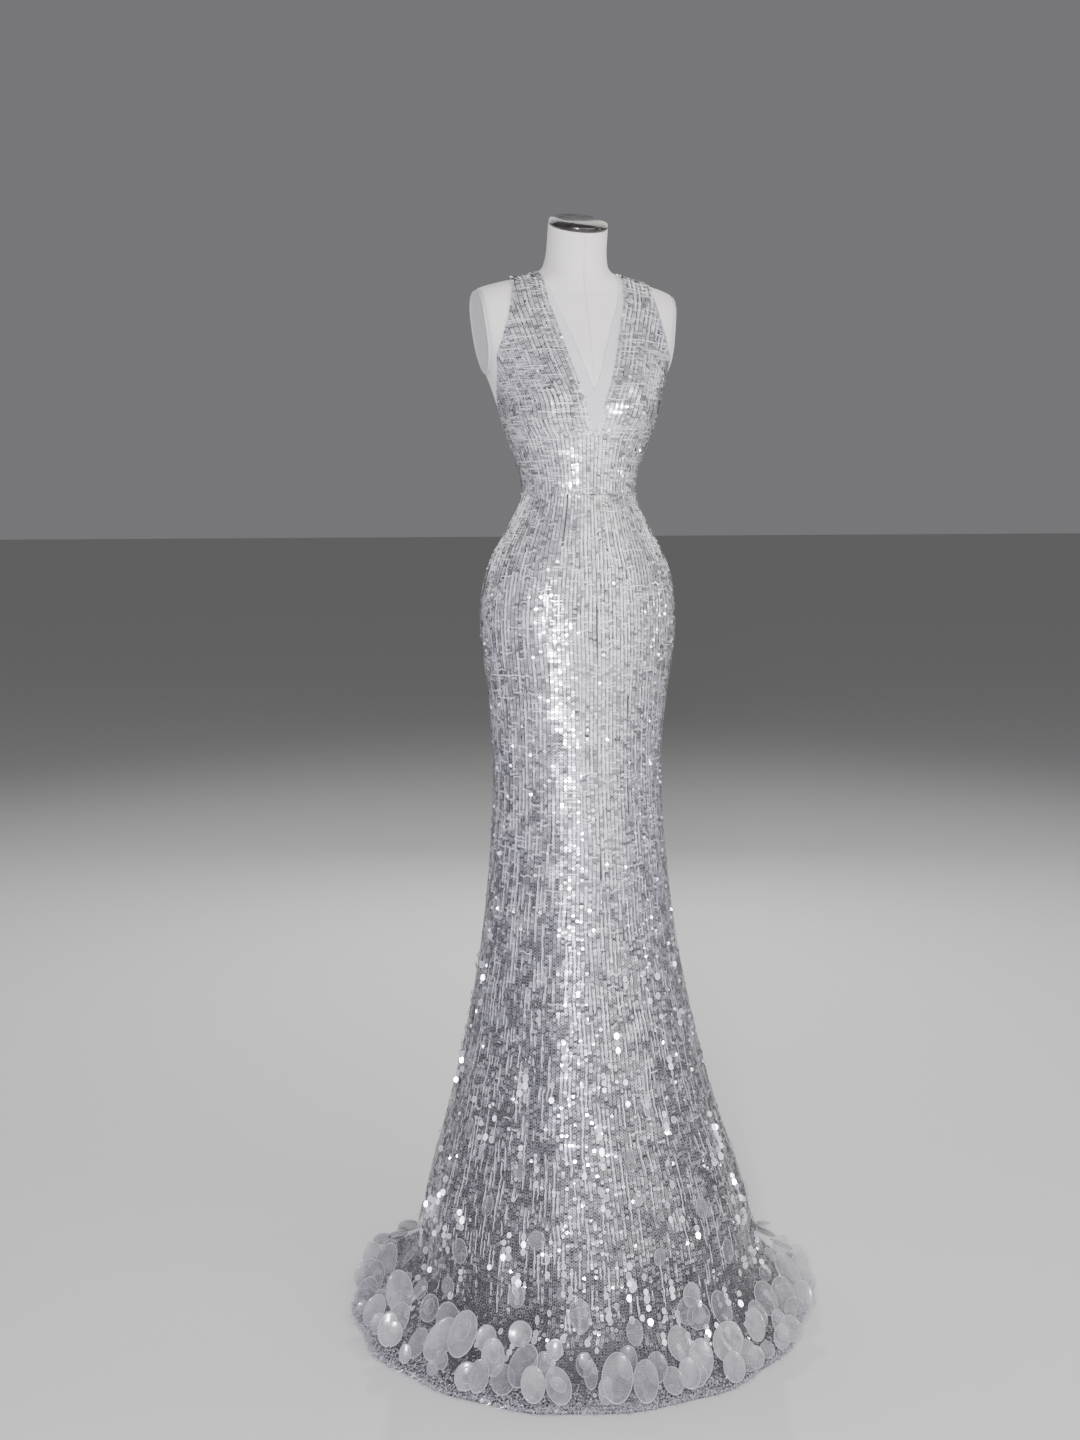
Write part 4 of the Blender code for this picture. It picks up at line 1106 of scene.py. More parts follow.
    def build_seam(self) -> None:
        """A fine ridge of stitching down the centre front, an arc across and the body's own line along."""
        heights = np.linspace(self.figure.waist, self.neck_top - self.seam_end, 220)
        heights, across = np.meshgrid(heights, np.linspace(-1, 1, 7), indexing="ij")
        x = across * self.seam_half
        angle = self.figure.angle_at(x, heights)
        outer = offset(self.figure.surface, angle, heights, self.seam_foot + self.seam_ridge * (1 - across**2))
        inner = offset(self.figure.surface, angle, heights, -self.seam_root)
        shape = closed_wall(inner, outer, np.stack([x, heights], axis=-1))
        make_piece("torso_front_seam", shape, self.finishes["seam_thread"])


@dataclass
class Stand:
    """The round foot, pole and flange, which keep their own shapes."""

    finishes: Finishes
    nodes: tuple[str, ...] = ("stand_base", "stand_pole", "stand_flange")

    def build(self) -> None:
        """Paints each node of the stand."""
        for name in self.nodes:
            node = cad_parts[name]
            node.data.materials.clear()
            node.data.materials.append(self.finishes["black_steel"])
            LOG.info("painted %s", name)


# ---------------------------------------------------------------- the gown


@dataclass
class Cloth:
    """How the cloth lies: its distances outside the figure and the size and pitch of its sequins."""

    clearance: float = 0.0015
    ground: float = 0.0008  # thickness of the net under the sequins
    sheer: float = 0.0006
    sheer_clearance: float = 0.0012
    sequin_seat: float = 0.0030  # from the figure to the middle of a sequin
    seat_stray: float = 0.0002
    pitch: float = 0.0046  # between two sequins on a string
    string_pitch: float = 0.0063  # between two strings
    length: float = 0.0027  # half the length of a sequin
    shingle: float = 0.11  # how far each leans out over the next one down
    stray: float = 0.024  # how far each one leans or sways by chance
    loose: float = 0.10  # share of sequins that hang loose
    loose_stray: float = 0.22
    ripple: float = 0.034  # how far neighbours lean and sway together
    ripple_pitches: tuple[float, ...] = (0.070, 0.024)
    width_stray: float = 0.04
    row_lean: float = 0.050  # how far short runs of a row lean together
    string_sway: float = 0.050  # how far short runs of a string sway together
    hollow: float = 0.012
    free: float = 0.018  # share of sequins that hang by one edge and face the front
    strip_down_from: float = 0.15  # strings show a pale strip, their thread and painted highlight, where their noise is over this
    strip_across_from: float = 0.45  # and rows a painted highlight strip where theirs is over this, or over more near the hem
    thread_and_highlight_half: float = 0.00068  # half the width of a pale strip, thread and painted highlight
    thread_and_highlight_rise: float = 0.0044  # from the figure to the pale strips
    wander: float = 0.0005  # how far the pale strips stray to their sides

    def threads(
        self, grid: Stations, sewn: Array, down: Array, across: Array, wander: Array, shine: Array | float
    ) -> Shape:
        """Pale strips over the sequins: broken lines down the strings, their thread and painted highlight, and
        shorter ones along the rows, painted highlight of rows catching light.

        Args:
            grid: stations with a row for each row of sequins and a column for each string.
            sewn: where there are sequins.
            down: noise that runs down the strings.
            across: noise that runs along the rows.
            wander: noise with a spread of 1, for how far the strips stray to their sides.
            shine: how bright the painted strips are, from 0 to 1.

        Returns:
            The strips down and then the strips across, as one shape.
        """
        shine = np.clip(shine + 0.10 * (down + across), 0.1, 1)
        wander = self.wander * wander
        size = (self.thread_and_highlight_half, self.thread_and_highlight_rise)
        strings = sewn & (down > self.strip_down_from)
        rows = (sewn & (across > self.strip_across_from + np.clip(2.4 - 3.0 * grid.places[..., 2], 0, 1.6))).T
        lengthwise = threads_down(grid, np.ones_like(sewn), strings, *size, wander, shine)
        return lengthwise.joined(threads_down(grid.crosswise(), sewn.T, rows, *size, wander.T, shine.T))


@dataclass
class SequinMaker:
    """Turns stations on the cloth into joined sequins, with seeded scatter."""

    cloth: Cloth
    seed: int
    sides: int = 8

    def __post_init__(self) -> None:
        """Starts the seeded source of scatter."""
        self.random = np.random.default_rng(self.seed)

    def waves(self, places: Array, pitch: float) -> Array:
        """Smooth noise with a spread of 1: a sum of seeded sine waves about a pitch long, shorter up the cloth."""
        numbers = self.random.standard_normal((3, 9)) * TURN / pitch * np.array([[1.0], [1.0], [1.6]])
        return np.sin(places @ numbers + self.random.random(9) * TURN).sum(axis=-1) / math.sqrt(4.5)

    def sew(
        self,
        stations: Stations,
        wide: Array,
        glint: Array | None = None,
        loosening: Array | float = 1,
        leans: Array | float = 0,
        sways: Array | float = 0,
        rippling: Array | float = 1,
    ) -> Shape:
        """Leans, strays and spreads one sequin at each station.

        Args:
            stations: where they go, on the figure.
            wide: half the width of each.
            glint: how bright each is, from 0 to 1.
            loosening: how many times farther each one strays.
            leans: how far each one leans with its row.
            sways: how far each one sways with its string.
            rippling: how many times farther neighbours lean and sway together.

        Returns:
            The joined sequins.
        """
        cloth, count = self.cloth, len(stations.places)
        loose = self.random.random(count) < cloth.loose
        stray = np.where(loose, cloth.loose_stray * loosening**0.7, cloth.stray * loosening)
        tilts = []
        for given in (cloth.shingle + leans, sways):
            shared = sum(self.waves(stations.places, pitch) for pitch in cloth.ripple_pitches)
            tilts.append(given + cloth.ripple * rippling * shared + stray * self.random.standard_normal(count))
        seated = stations.raised(cloth.sequin_seat + cloth.seat_stray * self.random.standard_normal(count))
        turned = seated.scattered(self.random, self.random.random(count) < cloth.free, *tilts)
        wide = wide * (1 + cloth.width_stray * self.random.standard_normal(count))
        if glint is None:
            glint = 0.45 + 0.55 * self.random.random(count)
        sizes = (wide, np.full(count, cloth.length), wide)
        return spread(Trim.dish(self.sides, cloth.hollow), turned, sizes, glint)


@dataclass
class Sewn:
    """What the parts of the gown share: the figure, the cloth and the finishes."""

    figure: Figure
    cloth: Cloth
    finishes: Finishes

    def make_net(
        self,
        name: str,
        node: str,
        walls: Sequence[Array],
        uv: Array,
        side: Side = Side.LEFT,
        kind: str = "ground_net",
    ) -> Piece:
        """A net as a closed wall between two grids of points.

        Args:
            name: the piece's name.
            node: the solid that it replaces.
            walls: the inner and the outer grid.
            uv: the lengths across and down the grid.
            side: which side of the wearer it is for.
            kind: the finish.

        Returns:
            The new piece.
        """
        area, wide, long = surface_area(walls[1]), uv[:, -1, 0].max(), uv[-1, :, 1].max()
        LOG.info("cut of %s: %.4f m2, %.3f x %.3f m", name, area, wide, long)
        return make_piece(name, closed_wall(*walls, uv).on(side), self.finishes[kind], [node])

    def make_trim(self, name: str, shape: Shape, finish: str, slot: str = "sequinned_net") -> Piece:
        """Joined sequins or beads as one faceted piece."""
        return make_piece(name, shape, self.finishes[finish], shading=Shading.FACETED)


@dataclass
class Skirt(Sewn):
    """Four panels of sequinned net from the waist to the floor, with strings of sequins."""

    columns: int = 29  # strings of sequins on a quarter of the skirt at the waist
    net_columns: int = 44
    net_rows: int = 130
    arc_samples: int = 97
    ease: float = 3.0  # how many strings come in together as the skirt widens
    string_ends: tuple[float, float] = (0.10, 0.22)  # the strings stop between these lengths from the hem
    thin: float = 0.35  # a string that weighs less than this has no sequins yet
    loose_share: float = 0.42  # share of the sequins below the strings' ends that are there
    slip: float = 0.16  # how far each string's rows slip past the last one's, in pitches
    row_stray: float = 0.05  # how far each sequin strays along its string, in pitches
    end_stray: float = 0.02
    full_glint: float = 1.1  # height from which the sequins are at their brightest
    # Each panel's name, the quarter turn it covers and the area of its cut.
    panels: tuple[tuple[str, int, float], ...] = (
        ("front_left", 0, 0.414), ("back_left", 1, 0.433), ("back_right", 2, 0.435), ("front_right", 3, 0.417),
    )
    flat: tuple[float, float] = (0.60, 1.433)

    def __post_init__(self) -> None:
        """Works out the running length along the cloth at fine steps of height."""
        self.fine = np.linspace(0, self.figure.waist, 4001)
        half, _, _, front, _, _ = self.figure.level(self.fine)
        slope = np.gradient((half + front) / 2, self.fine)
        steps = np.sqrt(1 + ((slope[1:] + slope[:-1]) / 2) ** 2) * np.diff(self.fine)
        self.run = np.concatenate([[0], np.cumsum(steps)])

    def heights(self, runs: Array) -> Array:
        """Heights at lengths along the cloth from the hem."""
        return np.interp(runs, self.run, self.fine)

    def angles(self, quarter: int, heights: Array, shares: Array) -> tuple[Array, Array]:
        """Angles at shares of a panel's width, measured along the cloth at each height.

        Args:
            quarter: which quarter turn the panel covers.
            heights: one for each row.
            shares: rows of shares from 0 to 1.

        Returns:
            The angles, and the panel's width at each height.
        """
        arc = (quarter + np.linspace(0, 1, self.arc_samples)) * math.pi / 2
        angles = np.broadcast_to(arc, (len(heights), self.arc_samples))
        lengths = lengths_along(self.figure.surface(angles, heights[:, None]))
        width = lengths[:, -1:]
        shares = np.broadcast_to(shares, (len(heights), shares.shape[-1]))
        return read_rows(lengths / width, angles, shares), width[:, 0]

    def build(self) -> None:
        """Builds each panel's net and its sequins."""
        for name, quarter, area in self.panels:
            net = self.build_net(name, quarter)
            sequins = self.build_sequins(name, quarter)

    def build_net(self, name: str, quarter: int) -> Piece:
        """One panel's net: a closed wall between two offsets of the figure."""
        runs = np.linspace(0, self.run[-1], self.net_rows + 1)
        heights = self.heights(runs)
        shares = np.linspace(0, 1, self.net_columns + 1)[None, :]
        angles, width = self.angles(quarter, heights, shares)
        rows = np.repeat(heights[:, None], self.net_columns + 1, axis=1)
        distances = (self.cloth.clearance, self.cloth.clearance + self.cloth.ground)
        walls = [offset(self.figure.surface, angles, rows, distance) for distance in distances]
        uv = np.stack([shares * width[:, None], runs[:, None] + 0 * shares], axis=-1)
        return self.make_net(f"skirt_net_{name}", f"skirt_{name}", walls, uv)

    def string_shares(self, width: Array) -> tuple[Array, Array]:
        """Where the strings lie across a panel in each row.

        A panel has as many strings in a row as its width holds at the strings' pitch. Each string has a rank in
        a golden-section order, and its weight in a row is how far the count passes that rank, from 0 to 1. A
        string's share is the sum of the weights before it and half its own, over the sum of all. So a new
        string starts narrow and pushes its neighbours apart.

        Args:
            width: the panel's width in each row.

        Returns:
            The shares and the weights, a row for each row of sequins and a column for each string.
        """
        count = np.maximum(self.columns, width / self.cloth.string_pitch)
        total = int(math.ceil(count.max()))
        order = np.argsort((np.arange(total) * GOLDEN_ANGLE / TURN) % 1)
        weights = np.clip((count[:, None] - order[None, :]) / self.ease, 0, 1)
        run = np.cumsum(weights, axis=1)
        return (run - weights / 2) / run[:, -1:], weights

    def build_sequins(self, name: str, quarter: int) -> Piece:
        """Strings of sequins down one panel, with loose clear ones below the strings' ends."""
        maker = SequinMaker(self.cloth, 100 + quarter)
        random = np.random.default_rng(200 + quarter)
        count = int(self.run[-1] / self.cloth.pitch)
        runs = (np.arange(count) + 0.5) * self.run[-1] / count
        heights = self.heights(runs)
        _, width = self.angles(quarter, heights, np.zeros((1, 1)))
        shares, weights = self.string_shares(width)
        angles, _ = self.angles(quarter, heights, shares)
        strings = shares.shape[1]
        drift = np.cumsum(self.slip * random.standard_normal(strings))
        drift = (drift - np.linspace(0, drift[-1], strings)) % 1.0
        ends = random.uniform(*self.string_ends, strings) + self.end_stray * random.standard_normal(shares.shape)
        above = runs[:, None] > ends
        staggered = np.where(above, 0.0, 0.5 * (np.arange(strings) % 2))
        phase = self.cloth.pitch * (drift + staggered + self.row_stray * random.standard_normal(shares.shape))
        rows = self.heights(np.clip(runs[:, None] + phase - self.cloth.pitch / 2, 0.003, self.run[-1] - 0.001))
        chance, up = random.random(shares.shape), np.clip(rows / self.full_glint, 0, 1)
        grid = Stations.on_chart(self.figure.surface, angles, rows)
        down = streaks(random, len(runs), strings, 7)
        across = streaks(random, strings, len(runs), 4).T
        patches = maker.waves(grid.places, 0.045)
        # The glint falls towards the hem. Its streaks down the strings and along the rows and its patches are
        # painted highlight and shade of neighbours that catch the light together.
        glint = 0.06 + 0.49 * up + (0.48 + 0.02 * up) * (chance - 0.5)
        glint += (0.09 - 0.03 * up) * (down + across + patches)
        glint = np.where(above, np.clip(glint, 0.05 + 0.15 * up, 1), 0.12 * chance)
        present = (weights > self.thin) & (above | (random.random(shares.shape) < self.loose_share))
        spacing = width[:, None] / weights.sum(axis=1, keepdims=True) * np.clip(weights, 0.6, 1)
        height = rows[present]
        shape = maker.sew(
            grid.kept(present),
            (0.41 + 0.04 * np.clip(height / 0.9, 0, 1)) * spacing[present],
            glint[present],
            1 + np.clip(1 - height / 0.9, 0, 1),
            self.cloth.row_lean * across[present],
            self.cloth.string_sway * down[present],
            1 + 3.2 * np.clip(1 - height / 0.8, 0, 1),
        )
        wander = random.standard_normal(shares.shape)
        sewn = (weights > self.thin) & above
        # Pale strips over the sequins, thread and painted highlight, dimmer towards the hem.
        threads = self.cloth.threads(grid, sewn, down, across, wander, 0.30 + 0.66 * up)
        return self.make_trim(f"skirt_sequins_{name}", shape.joined(threads), "sequins")


@dataclass
class Bodice(Sewn):
    """The fronts with their straps, the low back, the back straps and the net in the V.

    Edges are tables of the length along the cloth and the distance from the centre line. Above the chest the
    length runs over the shoulder.
    """

    columns: int = 25
    rows: int = 104
    samples: int = 65
    fan_from: float = 1.500  # below this the strings follow the body, above it they follow the V
    net_rows: int = 46
    net_columns: int = 30
    seam: float = 0.001  # sequins stop this far from a seam
    edge_gap: float = 0.0008  # and this far from an edge, where they have a row of their own
    slip: float = 0.0014  # how far a string's rows slip by chance
    fill: float = 0.46  # half a sequin's width as a share of the strings' pitch
    neck_edge: Array = table(
        (1.371, 0), (1.465, 0), (1.475, 0.0055), (1.499, 0.013), (1.529, 0.0215), (1.554, 0.03), (1.6, 0.043),
        (1.667, 0.0575), (1.709, 0.067), (1.7885, 0.0725),
    )
    sheer_edge: Array = table(
        (1.54, 0), (1.56, 0.0085), (1.6, 0.0215), (1.66, 0.039), (1.71, 0.056), (1.7885, 0.0685),
    )
    arm_edge: Array = table((1.667, 0.133), (1.709, 0.1235), (1.7885, 0.11))
    strap_inner: Array = table((1.7885, 0.0725), (1.977, 0.058), (2.167, 0.026))
    strap_outer: Array = table((1.7885, 0.11), (1.977, 0.096), (2.167, 0.064))
    # The armhole below the chest, as the height and the angle round the body in degrees.
    arm_angle: Array = table((1.371, 90), (1.511, 90), (1.529, 84), (1.554, 73), (1.58, 63), (1.6, 57.5))
    # The top of the back, as the angle and the height.
    back_top: Array = table((90, 1.511), (101, 1.468), (115, 1.44), (135, 1.422), (180, 1.412))
    strap_length: float = 0.190
    foot_height: float = 1.415  # about where a strap meets the low back
    overlap: float = 0.0006  # how far its foot lies over the top of the back
    strap_half: float = 0.0029  # half the width of a sequin on the back and its straps
    edge_half: float = 0.0032  # and along the V and the armhole
    # The width, length and area of each cut. The sheer net's two arms are laid end to end.
    front_cut: tuple[float, float, float] = (0.199, 0.442, 0.0519)
    back_cut: tuple[float, float, float] = (0.203, 0.147, 0.0092)
    strap_cut: tuple[float, float, float] = (0.042, 0.382, 0.0150)
    sheer_cut: tuple[float, float, float] = (0.030, 0.66, 0.0104)

    def front_stations(self, along: Array, share: Array) -> Stations:
        """Stations on the wearer's left front, on the body's chart and above the chest on the fan's.

        Args:
            along: heights, and above the chest lengths over the shoulder.
            share: from 0 at the V to 1 at the armhole.

        Returns:
            The stations, in one row.
        """
        along, share = (part.ravel() for part in np.broadcast_arrays(along, share))
        figure = self.figure
        fan = along > figure.chest
        low, high = np.minimum(along, figure.chest), np.maximum(along, figure.chest)
        first = figure.angle_at(read_monotone(self.neck_edge, low), low)
        angle = first * (1 - share) + np.radians(read_monotone(self.arm_angle, low)) * share
        chest_x = figure.surface(np.radians(self.arm_angle[-1, 1]), np.array(figure.chest))[0]
        chest_first = read_monotone(self.neck_edge, np.array(figure.chest))
        arm_edge = np.concatenate([[[figure.chest, chest_x]], self.arm_edge])
        start, end = read_monotone(self.neck_edge, high), read_monotone(arm_edge, high)
        across = (figure.surface(angle, low)[..., 0] - chest_first) / (chest_x - chest_first)
        x = start + (end - start) * np.where(fan, across, share)
        body = Stations.on_chart(figure.surface, angle[~fan], low[~fan])
        over = Stations.on_chart(figure.over_shoulder, x[fan], high[fan])
        return body.joined(over).kept(np.argsort(np.argsort(fan, kind="stable")))

    def even_rows(self, count: int) -> Array:
        """Lengths along the front that are evenly spaced on its middle line."""
        fine = np.linspace(self.figure.waist, self.figure.fan_top, 400)
        run = lengths_along(self.front_stations(fine, np.array(0.45)).places[None])[0]
        return np.interp(np.linspace(0, run[-1], count), run, fine)

    def build(self) -> None:
        """Builds the fronts, the back, the straps and the net in the V."""
        for side in Side:
            self.build_front(side)
            self.build_back(side)
            self.build_strap(side)
        self.build_sheer()

    def build_panel(
        self, name: str, node: str, grid: Stations, sequins: Shape, side: Side, cut: tuple[float, float, float]
    ) -> None:
        """Args:
            name: the pieces' names, with {} where they say net or sequins.
            node: the solid that the net replaces.
            grid: the net's stations in rows and columns, on the wearer's left.
            sequins: the joined sequins, on the wearer's left.
            side: which side of the wearer it is for.
            cut: its width, length and area. It is not used.
        """
        places, outs = grid.places, grid.outs
        walls = [places + outs * d for d in (self.cloth.clearance, self.cloth.clearance + self.cloth.ground)]
        name = f"{name}_{side.word}"
        net = self.make_net(name.format("net"), f"{node}_{side.word}", walls, cloth_map(places), side)
        sewn = self.make_trim(name.format("sequins"), sequins.on(side), "sequins")

    def build_front(self, side: Side) -> None:
        """One front: its net and its strings of sequins, which follow the body and then the V."""
        random = (maker := SequinMaker(self.cloth, 300 + side.number)).random
        net_rows = self.even_rows(self.net_rows + 1)[:, None]
        net = self.front_stations(net_rows, np.linspace(0, 1, self.net_columns + 1)[None, :])
        rows = self.even_rows(self.rows + 1)[:-1, None] + self.seam
        fine = np.linspace(0, 1, self.samples)
        points = self.front_stations(rows, fine[None, :]).places.reshape(self.rows, self.samples, 3)
        lengths = lengths_along(points)
        width = lengths[:, -1:]
        level = int(np.argmin(np.abs(rows - self.fan_from)))
        pitch = np.where(rows < self.fan_from, width, width[level])
        wanted = (np.arange(self.columns) + 0.5) / self.columns * pitch
        keep = wanted < width - self.edge_gap
        shares = read_rows(lengths, np.broadcast_to(fine, lengths.shape), np.minimum(wanted, width))
        phase = random.random(self.columns) * self.slip
        grid = self.front_stations(np.minimum(rows + phase, self.figure.fan_top - self.seam), shares)
        edges = self.front_edges()
        spots = grid.kept(keep.ravel()).joined(edges)
        plain = np.zeros(len(edges.places))
        half = self.fill * np.broadcast_to(pitch, keep.shape)[keep] / self.columns
        wide = np.concatenate([half, plain + self.edge_half])
        down = streaks(random, self.rows, self.columns, 7)
        across = streaks(random, self.columns, self.rows, 4).T
        patches = maker.waves(spots.places, 0.040)
        leans, sways = np.append(across[keep], plain), np.append(down[keep], plain)
        # The glint stands higher than the skirt's, partly painted light of the bodice lying nearer the flash. Its
        # part from the leans, sways and patches is painted highlight and shade.
        glint = 0.66 + 0.85 * (random.random(len(wide)) - 0.5) + 0.05 * (leans + sways) + 0.07 * patches
        leans, sways = self.cloth.row_lean * leans, self.cloth.string_sway * sways
        shape = maker.sew(spots, wide, np.clip(glint, 0.28, 1), 1.0, leans, sways)
        wander = random.standard_normal(keep.shape)
        # Pale strips over the sequins, thread and painted highlight, at full shine.
        threads = self.cloth.threads(grid.shaped(*keep.shape), keep, down, across, wander, 1.0)
        net = net.shaped(self.net_rows + 1, self.net_columns + 1)
        self.build_panel("bodice_{}_front", "bodice_front", net, shape.joined(threads), side, self.front_cut)

    def front_edges(self) -> Stations:
        """Sequins along the V and the armhole."""
        end = self.figure.fan_top - self.seam
        inner = self.front_stations(np.linspace(self.figure.v_bottom, end, 84), np.array(0.004))
        return inner.joined(self.front_stations(np.linspace(self.figure.side_top, end, 74), np.array(0.999)))

    def build_back(self, side: Side) -> None:
        """One side of the low back, with a row of sequins along its top."""
        angles = np.linspace(math.pi / 2, math.pi, 25)
        tops = read_monotone(self.back_top, np.degrees(angles))
        share = np.linspace(0, 1, 13)[:, None]
        heights = self.figure.waist * (1 - share) + tops[None, :] * share
        net = Stations.on_chart(self.figure.surface, np.broadcast_to(angles, heights.shape), heights)
        rows = np.arange(self.figure.waist + 0.002, self.figure.side_top, self.cloth.pitch)
        columns = math.pi / 2 * (1 + (np.arange(self.columns) + 0.5) / self.columns)
        u, v = np.broadcast_arrays(columns[None, :], rows[:, None])
        keep = v < read_monotone(self.back_top, np.degrees(u)) - 0.0005
        edge_u = np.linspace(math.pi / 2, math.pi, 44)
        edge_v = read_monotone(self.back_top, np.degrees(edge_u)) - self.edge_gap
        spots = Stations.on_chart(self.figure.surface, np.append(u[keep], edge_u), np.append(v[keep], edge_v))
        shape = SequinMaker(self.cloth, 310 + side.number).sew(spots, np.full(len(spots.places), self.strap_half))
        self.build_panel("bodice_{}_back", "bodice_back", net, shape, side, self.back_cut)

    def strap_stations(self, count: int, shares: Array) -> Stations:
        """Stations on the left strap in rows from the shoulder seam to its foot on the low back.

        Args:
            count: how many rows.
            shares: shares of the strap's width.

        Returns:
            The stations, in rows and columns.
        """
        figure = self.figure
        end = figure.fan_end + self.strap_length
        foot_x = np.linspace(read_monotone(self.strap_inner, end), read_monotone(self.strap_outer, end), 9)
        foot_angle = figure.angle_at(foot_x, np.full(foot_x.shape, self.foot_height), back=True)
        foot = figure.fan_end + figure.chest - read_monotone(self.back_top, np.degrees(foot_angle)) - self.overlap
        rise = np.linspace(0, 1, count)[:, None]
        ends = np.interp(shares, np.linspace(0, 1, 9), foot)
        along = (figure.fan_top + 0.0002) * (1 - rise) + ends * rise
        x = read_monotone(self.strap_inner, along) * (1 - shares) + read_monotone(self.strap_outer, along) * shares
        return Stations.on_chart(figure.over_shoulder, x, along)

    def build_strap(self, side: Side) -> None:
        """One back strap, from the shoulder seam down to the low back."""
        net = self.strap_stations(61, np.linspace(0, 1, 9))
        columns = np.array([0.01, 0.14, 0.29, 0.43, 0.57, 0.71, 0.86, 0.99])
        spots = self.strap_stations(92, columns)
        spots = Stations(*(part.reshape(-1, 3) for part in (spots.places, -spots.ups, spots.outs)))
        shape = SequinMaker(self.cloth, 320 + side.number).sew(spots, np.full(len(spots.places), self.strap_half))
        self.build_panel("strap_{}", "strap_back", net, shape, side, self.strap_cut)

    def build_sheer(self) -> None:
        """The sheer net that edges the V and fills its foot, in one piece from shoulder to shoulder."""
        figure = self.figure
        rise = 1 - np.linspace(1, 0, 61) ** 1.3
        start, top = figure.v_bottom + 0.002, figure.fan_top
        outer_along = start + (top - start) * rise
        inner_along = self.sheer_edge[0, 0] + (top - self.sheer_edge[0, 0]) * rise
        share = np.linspace(0, 1, 9)
        outer_x = read_monotone(self.neck_edge, outer_along) * np.minimum(rise * 60, 1)
        inner_x = read_monotone(self.sheer_edge, inner_along)
        x = outer_x[:, None] * (1 - share) + inner_x[:, None] * share
        along = outer_along[:, None] * (1 - share) + inner_along[:, None] * share
        distances = (self.cloth.sheer_clearance, self.cloth.sheer_clearance + self.cloth.sheer)
        arms = [offset(figure.over_shoulder, x, along, distance)[:, ::-1] for distance in distances]
        walls = [np.concatenate([(arm * MIRROR)[:0:-1], arm]) for arm in arms]
        net = self.make_net("sheer_net", "sheer_inset", walls, cloth_map(walls[1]), kind="sheer_net")


